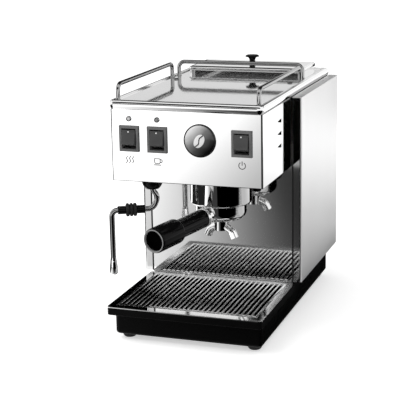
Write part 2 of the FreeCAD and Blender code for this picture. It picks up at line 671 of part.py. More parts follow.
# Water side below the shelf: hose, vibrating pump and its bracket.
def makePump():
    y = "splashY + pumpY"
    portEnd = "pumpX + pumpCoilLength / 2 + pumpCollarLength + pumpPortLength"
    path = [spot(hoseX, y, "tankBottom"), spot(hoseX, y, "pumpZ"), spot(portEnd, y, "pumpZ")]
    outer = rod(path, amount("hoseRadius"), amount("hoseBend"))
    inner = rod(path, amount("hoseBore"), amount("hoseBend"))
    keep(shaped(outer.cut(inner)), "feed_hose")

    coil = "(pumpCoilLength / 2)"
    collar = f"({coil} + pumpCollarLength)"
    port = f"({collar} + pumpPortLength)"
    side = [("0", f"-{port}"), ("pumpPort", f"-{port}"), ("pumpPort", f"-{collar}"),
            ("pumpCollar", f"-{collar}"),
            ("pumpCollar", f"-{coil}"), ("pumpCoil", f"-{coil}"), ("pumpCoil", coil), ("pumpCollar", coil),
            ("pumpCollar", collar), ("pumpPort", collar), ("pumpPort", port), ("0", port)]
    keep(spun("pump", side, "pumpX", y, "pumpZ", alongX), "pump")

    low = "(baseBottom + baseWall)"
    front, rear = f"{y} - bracketWidth / 2", f"{y} + bracketWidth / 2"
    ears = []
    for sign in ("-1", "1"):
        middle = f"(pumpX + {sign} * ({coil} + pumpCollarLength / 2))"
        ears.append(box(f"{middle} - bracketGauge / 2", f"{middle} + bracketGauge / 2", front, rear, low,
                        "pumpZ + pumpCollar + bracketGauge * 2"))
    strap = box(f"pumpX - {collar}", f"pumpX + {collar}", front, rear, low, f"{low} + bracketGauge")
    hole = cylinder(f"pumpX - {port}", y, "pumpZ", "pumpCollar + holeGap / 2", f"2 * {port}", alongX)
    keep(cut(fuse(ears + [strap]), [hole]), "pump_bracket")


# Boiler: an upright copper vessel with the element's plate bolted on top, and its fittings.
def makeBoiler():
    top = "(tankBottom + boilerHeight)"
    bore = "(boilerRadius - boilerWall)"
    side = [("0", "tankBottom"), ("boilerFoot", "tankBottom"), ("boilerFoot", "tankBottom + boilerDome"),
            ("boilerRadius", "tankBottom + boilerShoulder"), ("boilerRadius", top), ("boilerFlange", top),
            ("boilerFlange", f"{top} + boilerRing"), (bore, f"{top} + boilerRing"),
            (bore, "tankBottom + boilerShoulder + boilerWall"),
            ("boilerFoot", "tankBottom + boilerDome + boilerWall"),
            ("0", "tankBottom + boilerDome + boilerWall")]
    keep(spun("boiler_shell", side, "boilerX", boilerDepth, "0"), "boiler_shell")

    under = f"({top} + boilerRing)"
    plate = Part.makeCylinder(amount("boilerFlange"), amount("elementPlate"),
                              spot("boilerX", boilerDepth, under))
    left = "boilerX - elementSpan"
    right = "boilerX + elementSpan"
    depth = f"{boilerDepth} + elementY"
    foot = f"{under} - elementReach"
    path = [spot(left, depth, under), spot(left, depth, foot), spot(right, depth, foot),
            spot(right, depth, under)]
    loop = rod(path, amount("elementRod"), amount("elementBend"))
    keep(shaped(plate.fuse(loop)), "heating_element")

    plateTop = f"({under} + elementPlate)"
    fittings = {"safety_valve": ("boilerX + valveX", "valveRadius"),
                "pressure_switch": ("boilerX - valveX", "pressureRadius")}
    for label, (x, wide) in fittings.items():
        side = [("0", "0"), ("valveNeck", "0"), ("valveNeck", "valveSeat"), (wide, "valveSeat"),
                (wide, "valveShoulder"), ("valveTip", "valveHeight"), ("0", "valveHeight")]
        keep(spun(label, side, x, f"{boilerDepth} + valveY", plateTop), label)

    outlet = f"{boilerDepth} - outletY"
    rise = f"{plateTop} + steamRise"
    valveTop = "headBottom + gauge + solenoidHeight"
    path = [spot("steamOutletX", outlet, plateTop), spot("steamOutletX", outlet, rise),
            spot(wandX, "splashY", rise), spot(wandX, wandY, rise), spot(wandX, wandY, valveTop)]
    keep(shaped(rod(path, amount("pipeRadius"), amount("pipeBend"))), "steam_pipe")
    rise = f"{plateTop} + groupRise"
    path = [spot("groupX", outlet, plateTop), spot("groupX", outlet, rise), spot("groupX", groupY, rise),
            spot("groupX", groupY, "neckTop")]
    keep(shaped(rod(path, amount("groupPipeRadius"), amount("groupPipeBend"))), "group_pipe")
    y = "splashY + pumpY"
    port = "pumpX - pumpCoilLength / 2 - pumpCollarLength - pumpPortLength"
    path = [spot(port, y, "pumpZ"), spot("inletX", y, "pumpZ"), spot("inletX", boilerDepth, "pumpZ"),
            spot("inletX", boilerDepth, "inletZ"), spot("boilerX - boilerRadius", boilerDepth, "inletZ")]
    keep(shaped(rod(path, amount("pipeRadius"), amount("pipeBend"))), "inlet_pipe")

    side = "(solenoidSide / 2)"
    low = "headBottom + gauge"
    valve = box(f"{wandX} - {side}", f"{wandX} + {side}", f"{wandY} - {side}", f"{wandY} + {side}", low,
                f"{low} + solenoidHeight")
    keep(valve, "steam_solenoid")
    boxRight = "(bodyWidth / 2 - boxInset)"
    casing = box(f"{boxRight} - boxWidth", boxRight, "splashY + boxFront", "splashY + boxBack",
                 "tankBottom",
                 "tankBottom + boxHeight")
    keep(casing, "control_box")


# Front controls: each switch is a framed housing with a tilted rocker on a cross pin.
def makeControls():
    wide, tall = "(switchWidth / 2)", "(switchHeight / 2)"
    face = f"({headFront} - switchProud)"
    for name, x in switchPlaces.items():
        frame = box(f"{x} - {wide}", f"{x} + {wide}", face, headFront, f"switchZ - {tall}",
                    f"switchZ + {tall}")
        behind = box(f"{x} - {wide} + switchCut", f"{x} + {wide} - switchCut", face,
                     f"{headFront} + switchBody",
                     f"switchZ - {tall} + switchCut", f"switchZ + {tall} - switchCut")
        well = box(f"{x} - {wide} + switchBorder", f"{x} + {wide} - switchBorder", f"{face} - switchProud",
                   f"{headFront} + switchBody - 2 * switchProud", f"switchZ - {tall} + switchBorder",
                   f"switchZ + {tall} - switchBorder")
        pinHole = cylinder(f"{x} - {wide} + switchCut + gauge / 2", f"{headFront} + rockerPivot", "switchZ",
                           "pivotPin + holeGap / 2", f"2 * ({wide} - switchCut) - gauge", alongX)
        keep(cut(fuse([frame, behind]), [well, pinHole]), f"{name}_switch_housing")

        halfWide = f"({wide} - switchBorder - rockerGap)"
        body = newBody(f"{name}_rocker")
        section = sketchOn(body, "YZ_Plane", f"-{halfWide}")
        outline(section, [
            ("-rockerProud", "-rockerHalf"), ("-rockerDip", "0"), ("-rockerProud", "rockerHalf"),
            ("-rockerWaist", "rockerFlank"), ("rockerDeep", "rockerBack"), ("rockerDeep", "-rockerBack"),
            ("-rockerWaist", "-rockerFlank")])
        add(body, "Pad", section, f"2 * {halfWide}")
        reach = f"({wide} - switchCut - gauge / 2 - holeGap / 2)"
        shaft = sketchOn(body, "YZ_Plane", f"-{reach}")
        circle = shaft.addGeometry(Part.Circle(Vector(0, 0, 0), Vector(0, 0, 1), amount("pivotPin")), False)
        shaft.addConstraint(Sketcher.Constraint("Coincident", circle, 3, -1, 1))
        index = shaft.addConstraint(Sketcher.Constraint("Radius", circle, amount("pivotPin")))
        shaft.setExpression(f"Constraints[{index}]", bound("pivotPin"))
        add(body, "Pad", shaft, f"2 * {reach}")
        tilt = Rotation(Vector(1, 0, 0), -amount("rockerAngle"))
        place(body, x, f"{headFront} + rockerPivot", "switchZ", tilt)
        keep(body, f"{name}_rocker")

    lamps = []
    for x in lampPlaces:
        side = [("0", "-lampStemLength"), ("lampStem", "-lampStemLength"), ("lampStem", "0"),
                ("lampRadius", "0"),
                ("lampRadius", "lampProud / 3", capRadius("lampRadius", "lampProud * 2 / 3"), 1),
                ("0", "lampProud")]
        lamps.append(spun("lamp", side, x, headFront, "lampZ", outward))
    keep(group(lamps), "indicator_lamps")

    inner = "(badgeRadius - badgeRim)"
    side = [("0", "0"), ("badgeRadius", "0"), ("badgeRadius", "badgeLip"), (inner, "badgeLip"),
            (inner, "badgeLip - badgeStep", capRadius(inner, "badgeDome"), 1),
            ("0", "badgeLip - badgeStep + badgeDome")]
    keep(spun("front_badge", side, "badgeX", headFront, "badgeZ", outward), "front_badge")


# Group: a chromed bell with a bayonet ledge inside, its gasket, screen and bolts.
def makeGroup():
    ledgeTop = "(groupFoot + ledgeHeight)"
    roof = "(gasketSeat - gasketHeight)"
    side = [("ledgeRadius", "groupFoot"), ("groupRadius - groupCurve", "groupFoot", "groupCurve", 1),
            ("groupRadius", "groupFoot + groupCurve"), ("groupRadius", "headBottom"),
            ("neckRadius", "headBottom"),
            ("neckRadius", "neckTop"), ("0", "neckTop"), ("0", "gasketSeat"),
            ("gasketOuter + holeGap", "gasketSeat"),
            ("gasketOuter + holeGap", roof), ("grooveRadius", roof), ("grooveRadius", ledgeTop),
            ("ledgeRadius", ledgeTop)]
    bell = spun("group_bell", side, "groupX", groupY, "0")
    tools = []
    for x, y in boltPlaces():
        tools.append(cylinder(x, y, "headBottom - boltLength", "boltRadius + holeGap / 2",
                              "boltLength + gauge"))
    tools.append(cylinder("groupX", groupY, "gasketSeat - gauge", "screenScrew + holeGap / 2",
                          "gauge + boltLength"))
    entry = Rotation(Vector(0, 0, 1), -amount("handleAngle") - amount("entryAngle"))
    slot = doc.addObject("Part::Box", "LugEntry")
    bind(slot, "Length", "2 * lugReach + 4 * holeGap")
    bind(slot, "Width", "lugWidth + 4 * seatGap")
    bind(slot, "Height", "ledgeHeight + gauge")
    corner = entry.multVec(Vector(-amount("lugReach + 2 * holeGap"), -amount("lugWidth / 2 + 2 * seatGap"),
                                  0))
    slot.Placement = Placement(spot("groupX", groupY, "groupFoot - gauge / 2") + corner, entry)
    tools.append(slot)
    keep(cut(bell, tools), "group_head")

    ring = [("gasketInner", roof), ("gasketOuter", roof), ("gasketOuter", "gasketSeat"),
            ("gasketInner", "gasketSeat")]
    keep(spun("group_gasket", ring, "groupX", groupY, "0"), "group_gasket")
    dish = [("screenScrew + holeGap / 2", "gasketSeat - screenHeight"),
            ("screenRadius", "gasketSeat - screenHeight"),
            ("screenRadius", "gasketSeat"), ("screenRadius - screenWall", "gasketSeat"),
            ("screenRadius - screenWall", "gasketSeat - screenHeight + screenWall"),
            ("screwBoss", "gasketSeat - screenHeight + screenWall"), ("screwBoss", "gasketSeat"),
            ("screenScrew + holeGap / 2", "gasketSeat")]
    keep(spun("shower_screen", dish, "groupX", groupY, "0"), "shower_screen")
    foot = "gasketSeat - screenHeight"
    screw = [("0", f"{foot} - screwHeight"), ("screwBoss", f"{foot} - screwHeight"), ("screwBoss", foot),
             ("screenScrew", foot), ("screenScrew", "gasketSeat + boltLength - gauge"),
             ("0", "gasketSeat + boltLength - gauge")]
    keep(spun("screen_screw", screw, "groupX", groupY, "0"), "screen_screw")
    bolts = []
    for x, y in boltPlaces():
        seat = "headBottom + gauge"
        bolt = [("0", "headBottom - boltLength + gauge"), ("boltRadius", "headBottom - boltLength + gauge"),
                ("boltRadius", seat), ("boltHead", seat), ("boltHead", f"{seat} + boltHeadHeight"),
                ("0", f"{seat} + boltHeadHeight")]
        bolts.append(spun("group_bolt", bolt, x, y, "0"))
    keep(group(bolts), "group_bolts")


# Filter holder: a forged bowl with two lugs and a socket for the handle, with basket, spring and spouts.
def handleAxis():
    turn = math.radians(amount("handleAngle"))
    slope = math.radians(amount("slopeAngle"))
    return Vector(-math.sin(turn) * math.cos(slope), -math.cos(turn) * math.cos(slope), -math.sin(slope))


def alongHandle(label, corners):
    return spun(label, corners, "groupX", groupY, "handleZ", Rotation(Vector(0, 0, 1), handleAxis()))


def makeFilterHolder():
    bore = "(bowlRadius - bowlWall)"
    flat = "(bowlRadius - bowlCurve)"
    side = [("stemBore", "bowlFoot"), (flat, "bowlFoot", "bowlCurve", 1),
            ("bowlRadius", "bowlFoot + bowlCurve"),
            ("bowlRadius", "bowlTop"), (bore, "bowlTop"), (bore, "bowlFoot + bowlFloor + bowlWall"),
            ("stemBore", "bowlFoot + bowlFloor")]
    bowl = spun("bowl", side, "groupX", groupY, "0")
    turn = Rotation(Vector(0, 0, 1), -amount("handleAngle"))
    bar = doc.addObject("Part::Box", "LugBar")
    bind(bar, "Length", "2 * lugReach")
    bind(bar, "Width", "lugWidth")
    bind(bar, "Height", "lugHeight")
    corner = turn.multVec(Vector(-amount("lugReach"), -amount("lugWidth / 2"), 0))
    bar.Placement = Placement(spot("groupX", groupY, "groupFoot + ledgeHeight + seatGap") + corner, turn)
    rim = cylinder("groupX", groupY, "groupFoot", "lugReach", "bowlTop - groupFoot")
    lugs = doc.addObject("Part::Common", "Lugs")
    lugs.Base = bar
    lugs.Tool = rim
    boss = alongHandle("handle_boss", [("0", "bowlRadius - bowlWall / 2"),
                                       ("bossRadius", "bowlRadius - bowlWall / 2"),
                                       ("bossRadius", "bossEnd"), ("0", "bossEnd")])
    hollow = cylinder("groupX", groupY, "bowlFoot + bowlFloor + bowlWall", bore, "bowlTop")
    keep(cut(fuse([bowl, lugs, boss]), [hollow]), "filter_holder")

    ferrule = [("0", "bossEnd"), ("ferruleRadius", "bossEnd"),
               ("ferruleRadius", "bossEnd + ferruleLength * 0.7"),
               ("neckOuter", "bossEnd + ferruleLength"), ("0", "bossEnd + ferruleLength")]
    keep(alongHandle("handle_ferrule", ferrule), "handle_ferrule")
    start = "(bossEnd + ferruleLength)"
    grip = [("0", start), ("neckOuter", start), ("neckOuter", gripStart),
            ("gripRadius - gripCurve / 2", gripStart),
            ("gripRadius", f"{gripStart} + gripCurve"), ("gripRadius", f"{gripEnd} - gripCurve",
                                                         "gripCurve", 1),
            ("gripRadius - gripCurve", gripEnd), ("endRing", gripEnd),
            ("endRing - seatGap", f"{gripEnd} - endRecess"),
            ("0", f"{gripEnd} - endRecess")]
    keep(alongHandle("handle_grip", grip), "handle_grip")

    inner = "(basketRadius - basketWall)"
    cup = [("0", "basketFloor"), ("basketRadius", "basketFloor"), ("basketRadius", "bowlTop"),
           ("basketRim", "bowlTop"),
           ("basketRim", "bowlTop + basketRimHeight"), (inner, "bowlTop + basketRimHeight"),
           (inner, "basketFloor + basketWall"), ("0", "basketFloor + basketWall")]
    keep(spun("filter_basket", cup, "groupX", groupY, "0"), "filter_basket")
    wire = doc.addObject("Part::Torus", "Wire")
    bind(wire, "Radius1", "springRadius")
    bind(wire, "Radius2", "springWire")
    place(wire, "groupX", groupY, "springZ")
    keep(wire, "basket_spring")

    centre = spot("groupX", groupY, "0")
    across = Rotation(Vector(0, 0, 1), -amount("handleAngle")).multVec(Vector(1, 0, 0))
    stemTop, stemFoot, tip = amount("bowlFoot"), amount("stemFoot"), amount("spoutFoot")
    shoulder = (stemTop + stemFoot) / 2
    block = Part.makeCylinder(amount("stemRadius"), stemTop - stemFoot, centre + Vector(0, 0, stemFoot))
    shaft = Part.makeCylinder(amount("stemBore"), stemTop - shoulder, centre + Vector(0, 0, shoulder))
    channels = []
    for side in (-1, 1):
        way = across * side
        elbow = centre + way * amount("spoutElbow") + Vector(0, 0, (shoulder + tip) / 2)
        end = centre + way * amount("spoutReach") + Vector(0, 0, tip)
        path = [centre + Vector(0, 0, shoulder), elbow, end]
        block = block.fuse(rod(path, amount("spoutRadius"), amount("spoutBend")))
        channels.append(rod(path, amount("spoutBore"), amount("spoutBend")))
    for channel in channels + [shaft]:
        block = block.cut(channel)
    keep(shaped(block.removeSplitter()), "double_spout")


# Steam wand: a ball in a socket under the head, an S-bent tube with an insulating sleeve, and the nozzle.
def wandSpot(reach, z):
    swing = math.radians(amount("swingAngle"))
    out = Vector(-math.cos(swing), -math.sin(swing), 0) * amount(reach)
    return spot(wandX, wandY, z) + out


def makeWand():
    socket = [("socketMouth", "socketFoot"), ("socketLip", "socketFoot", "socketCurve", 1),
              ("socketRadius", "headBottom"),
              ("socketCavity", "headBottom"), ("socketCavity", "socketSeat"), ("socketMouth", "socketSeat")]
    keep(spun("wand_socket", socket, wandX, wandY, "0"), "wand_socket")
    seatTop = "(headBottom - holeGap)"
    seat = [("seatHole", f"{seatTop} - seatHeight"), ("socketCavity - seatGap", f"{seatTop} - seatHeight"),
            ("socketCavity - seatGap", seatTop), ("seatHole", seatTop)]
    keep(spun("wand_ball_seat", seat, wandX, wandY, "0"), "wand_ball_seat")

    ball = Part.makeSphere(amount("ballRadius"), spot(wandX, wandY, "ballZ"))
    neck = [wandSpot("0", "ballZ"), wandSpot("0", "ballZ - wandDrop"), wandSpot("-wandSway", "wandKneeZ"),
            wandSpot("wandArmStart", "wandArmZ"), wandSpot("wandReach", "wandArmZ"),
            wandSpot("wandReach", "nozzleTop")]
    keep(shaped(ball.fuse(rod(neck, amount("tubeRadius"), amount("wandFirstBend")))), "wand_tube")

    level = Rotation(Vector(0, 0, 1), wandSpot("wandReach", "wandArmZ") - wandSpot("0", "wandArmZ"))
    bore = "(tubeRadius + holeGap / 4)"

    def onArm(label, corners, start):
        body = spun(label, corners, wandX, wandY, "wandArmZ", level)
        offset = wandSpot(start, "wandArmZ")
        body.setExpression("Placement.Base.x", None)
        body.setExpression("Placement.Base.y", None)
        body.Placement = Placement(offset, level)
        return body

    nut = [(bore, "0"), ("nutRadius", "0"), ("nutRadius", "nutLength"), (bore, "nutLength")]
    second = "nutStart + nutLength + sleeveLength"
    keep(group([onArm("wand_nut", nut, "nutStart"), onArm("wand_nut", nut, second)]), "wand_nuts")
    pitch = "(sleeveLength / ribCount)"
    ribs = [(bore, "0")]
    for number in range(int(amount("ribCount"))):
        low = f"{pitch} * {number}"
        ribs += [("gripSleeve - ribDepth", low), ("gripSleeve", f"{low} + {pitch} / 4"),
                 ("gripSleeve", f"{low} + {pitch} * 3 / 4")]
    ribs += [("gripSleeve - ribDepth", "sleeveLength"), (bore, "sleeveLength")]
    keep(onArm("wand_grip", ribs, "nutStart + nutLength"), "wand_grip")

    tip = wandSpot("wandReach", "nozzleTip")
    long = "(nozzleTop - nozzleTip)"
    side = [("nozzleBore", "0"), ("nozzleRadius - nozzleCurve", "0", "nozzleCurve", 1),
            ("nozzleRadius", "nozzleCurve"),
            ("nozzleRadius", f"{long} - nozzleCurve / 2"), ("tubeRadius", long), ("nozzleBore", long)]
    nozzle = spun("wand_nozzle", side, wandX, wandY, "nozzleTip")
    nozzle.setExpression("Placement.Base.x", None)
    nozzle.setExpression("Placement.Base.y", None)
    nozzle.Placement = Placement(tip, Rotation())
    keep(nozzle, "wand_nozzle")


for make in (makeBase, makeFeet, makeTray, makeRearBody, makeHead, makeCover, makeReservoir, makePump,
             makeBoiler,
             makeControls, makeGroup, makeFilterHolder, makeWand):
    make()
doc.recompute()

faults = [item.Name for item in doc.Objects if {"Invalid", "Error"} & set(item.State)]
faults += [item.Label for item in nodes if item.Shape.isNull() or not item.Shape.isValid()]
if faults:
    raise RuntimeError(f"these did not build: {faults}")

os.makedirs("parts", exist_ok=True)
for item in nodes:
    item.Shape.exportStep(f"parts/{item.Label}.step")
print(len(nodes), "parts written")
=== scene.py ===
import bpy
import bmesh
import json
import math
from mathutils import Matrix, Vector


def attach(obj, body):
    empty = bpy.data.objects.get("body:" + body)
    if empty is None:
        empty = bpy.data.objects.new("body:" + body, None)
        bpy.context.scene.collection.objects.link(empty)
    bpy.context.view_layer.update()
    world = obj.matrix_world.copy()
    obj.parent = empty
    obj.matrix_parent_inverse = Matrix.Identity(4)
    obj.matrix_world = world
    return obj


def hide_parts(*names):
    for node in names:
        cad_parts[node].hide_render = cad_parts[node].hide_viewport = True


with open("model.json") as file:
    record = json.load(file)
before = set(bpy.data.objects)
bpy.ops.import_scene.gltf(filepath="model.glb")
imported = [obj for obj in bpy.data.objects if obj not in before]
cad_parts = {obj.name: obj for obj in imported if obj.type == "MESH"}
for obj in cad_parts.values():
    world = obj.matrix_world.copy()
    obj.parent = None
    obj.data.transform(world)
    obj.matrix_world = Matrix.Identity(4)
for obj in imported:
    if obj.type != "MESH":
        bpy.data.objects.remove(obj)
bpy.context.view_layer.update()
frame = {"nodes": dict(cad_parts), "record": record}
print("frame loaded:", len(frame["nodes"]), "nodes")


class Wire:                                   # a node's socket, so that shader maths reads as plain sums
    def __init__(self, tree, socket):
        self.tree = tree
        self.socket = socket

    def maths(self, operation, first, second):
        return addNode(self.tree, "ShaderNodeMath", {"operation": operation}, {0: first, 1: second})

    def __add__(self, other):
        return self.maths("ADD", self, other)

    def __radd__(self, other):
        return self.maths("ADD", other, self)

    def __sub__(self, other):
        return self.maths("SUBTRACT", self, other)

    def __rsub__(self, other):
        return self.maths("SUBTRACT", other, self)

    def __mul__(self, other):
        return self.maths("MULTIPLY", self, other)

    def __rmul__(self, other):
        return self.maths("MULTIPLY", other, self)

    def __lt__(self, other):
        return self.maths("LESS_THAN", self, other)

    def __gt__(self, other):
        return self.maths("GREATER_THAN", self, other)


def plug(tree, socket, value):
    if isinstance(value, Wire):
        tree.links.new(value.socket, socket)
    else:
        socket.default_value = value


def addNode(tree, kind, settings=None, sockets=None, output=0):
    node = tree.nodes.new(kind)
    for key, value in (settings or {}).items():
        if key == "stops":                    # a ramp's stops: (place, shade)
            ramp = node.color_ramp
            while len(ramp.elements) < len(value):
                ramp.elements.new(0.5)
            for element, (place, shade) in zip(ramp.elements, value):
                element.position = place
                element.color = grey(shade)
        else:
            setattr(node, key, value)
    for key, value in (sockets or {}).items():
        plug(tree, node.inputs[key], value)
    return None if output is None else Wire(tree, node.outputs[output])


# Finishes

def grey(value):
    return (value, value, value, 1)


def newFinish(name):
    material = bpy.data.materials.new(name)
    material.use_nodes = True
    tree = material.node_tree
    return material, tree, tree.nodes["Principled BSDF"]


def placed(tree, scale, middle=(0, 0, 0)):    # object coordinates, stretched by scale about a middle
    here = addNode(tree, "ShaderNodeTexCoord", output="Object")
    return addNode(tree, "ShaderNodeMapping", {"vector_type": "TEXTURE"}, {
        "Vector": here, "Location": middle, "Scale": tuple(1 / part for part in scale)})


def cloud(tree, scale, detail=3.0):
    return addNode(tree, "ShaderNodeTexNoise", None, {
        "Vector": placed(tree, scale), "Scale": 1.0, "Detail": detail, "Roughness": 0.55})


def blendColour(tree, factor, first, second):
    return addNode(tree, "ShaderNodeMix", {"data_type": "RGBA"}, {0: factor, 6: first, 7: second}, output=2)


def spread(value, low, high):                 # a 0 to 1 wire carried to low to high
    return value * (high - low) + low


def bumped(tree, height, spec):
    return addNode(tree, "ShaderNodeBump", None, {
        "Height": height, "Strength": spec["relief"], "Distance": spec["depth"]})


def metalFinish(name, spec, fold=None):       # a fold is a sheet's part below a limit, given its own colour and roughness; on the head shell that colour is a painted shadow line
    material, tree, shader = newFinish(name)
    smudge = cloud(tree, spec["smudge"])
    grain = cloud(tree, spec["grain"], 2.0)
    low, high = spec["colour"]
    colour = blendColour(tree, smudge, grey(low), grey(high))
    rough = spread(smudge * 0.5 + grain * 0.5, *spec["rough"])
    height = grain
    # below the limit the sheet takes the fold's colour and roughness; on the head shell this colour is
    # painted shade
    if fold:
        here = addNode(tree, "ShaderNodeTexCoord", output="Object")
        below = addNode(tree, "ShaderNodeSeparateXYZ", None, {0: here}, output=fold["along"]) < fold["limit"]
        low, high = fold["colour"]
        colour = blendColour(tree, below, colour, blendColour(tree, smudge, grey(low), grey(high)))
        rough = rough * (1 - below) + below * fold["rough"]
        height = grain * (1 - below)
    plug(tree, shader.inputs["Base Color"], colour)
    shader.inputs["Metallic"].default_value = 1.0
    plug(tree, shader.inputs["Roughness"], rough)
    plug(tree, shader.inputs["Normal"], bumped(tree, height, spec))
    return material


def mouldedFinish(name, spec):
    material, tree, shader = newFinish(name)
    wear = cloud(tree, spec["wear"])
    grain = cloud(tree, spec["grain"], 2.0)
    plug(tree, shader.inputs["Base Color"], blendColour(tree, wear, *spec["colour"]))
    plug(tree, shader.inputs["Roughness"], spread(wear * 0.6 + grain * 0.4, *spec["rough"]))
    shader.inputs["Specular IOR Level"].default_value = spec["shine"]
    shader.inputs["Metallic"].default_value = spec.get("metal", 0.0)
    plug(tree, shader.inputs["Normal"], bumped(tree, grain, spec))
    return material


def badgePaintedLightFinish(name, spec):                  # a domed black badge with painted light: a pale painted highlight at the upper left, shading to black at the lower right
    material, tree, shader = newFinish(name)
    across = addNode(tree, "ShaderNodeVectorMath", {"operation": "DOT_PRODUCT"}, {
        0: placed(tree, (1, 1, 1), spec["middle"]), 1: spec["run"]}, output="Value")
    mottle = cloud(tree, spec["mottle"])
    paintedLight = addNode(tree, "ShaderNodeValToRGB", {"stops": spec["stops"]}, {0: across + 0.5 + mottle * 0.04})
    plug(tree, shader.inputs["Base Color"], paintedLight)
    plug(tree, shader.inputs["Roughness"], spread(mottle, *spec["rough"]))
    shader.inputs["Specular IOR Level"].default_value = spec["shine"]
    return material


metals = {
    "polishedSteel": {"colour": (0.90, 0.96), "rough": (0.02, 0.07), "smudge": (14, 14, 9),
                      "grain": (60, 60, 60), "relief": 0.02, "depth": 0.0004},
    "satinSteel": {"colour": (0.86, 0.94), "rough": (0.26, 0.40), "smudge": (9, 9, 5),
                   "grain": (2600, 40, 2600), "relief": 0.08, "depth": 0.0002},
    "chrome": {"colour": (0.93, 0.98), "rough": (0.015, 0.045), "smudge": (40, 40, 40),
               "grain": (160, 160, 160), "relief": 0.01, "depth": 0.0002},
    "barSteel": {"colour": (0.84, 0.94), "rough": (0.10, 0.20), "smudge": (30, 30, 30),
                 "grain": (900, 60, 900), "relief": 0.05, "depth": 0.0002},
    # chrome for the rails and the wand pipe, its colour darkened to stand for the dark surroundings it
    # mirrors: painted shade
    "railChromePaintedShade": {"colour": (0.34, 0.44), "rough": (0.03, 0.07), "smudge": (40, 40, 40),
                  "grain": (160, 160, 160), "relief": 0.01, "depth": 0.0002},
    "lampRing": {"colour": (0.28, 0.38), "rough": (0.10, 0.18), "smudge": (300, 300, 300),
                 "grain": (600, 600, 600), "relief": 0.02, "depth": 0.0002},
    "screwSteel": {"colour": (0.20, 0.30), "rough": (0.12, 0.22), "smudge": (300, 300, 300),
                   "grain": (600, 600, 600), "relief": 0.05, "depth": 0.0002},
    "zincPlate": {"colour": (0.50, 0.64), "rough": (0.30, 0.48), "smudge": (60, 60, 60),
                  "grain": (500, 500, 500), "relief": 0.08, "depth": 0.0003},
}
folds = {
    "panelSteel": {"sheet": "satinSteel", "nodes": ("side_panel_left", "side_panel_right"), "along": "Y",
                   "limit": 0.0026, "colour": (0.646, 0.714), "rough": 0.05},
    # the head shell's lowest edge, below the limit, is coloured near black: a painted shadow line along its
    # folded edge
    "headSteelShadowLine": {"sheet": "polishedSteel", "nodes": ("head_shell",), "along": "Z", "limit": 0.2224,
                  "colour": (0.095, 0.105), "rough": 0.20},
    "traySteel": {"sheet": "polishedSteel", "nodes": ("cup_tray",), "along": "Z", "limit": 0.3288,
                  "colour": (0.703, 0.777), "rough": 0.06},
}
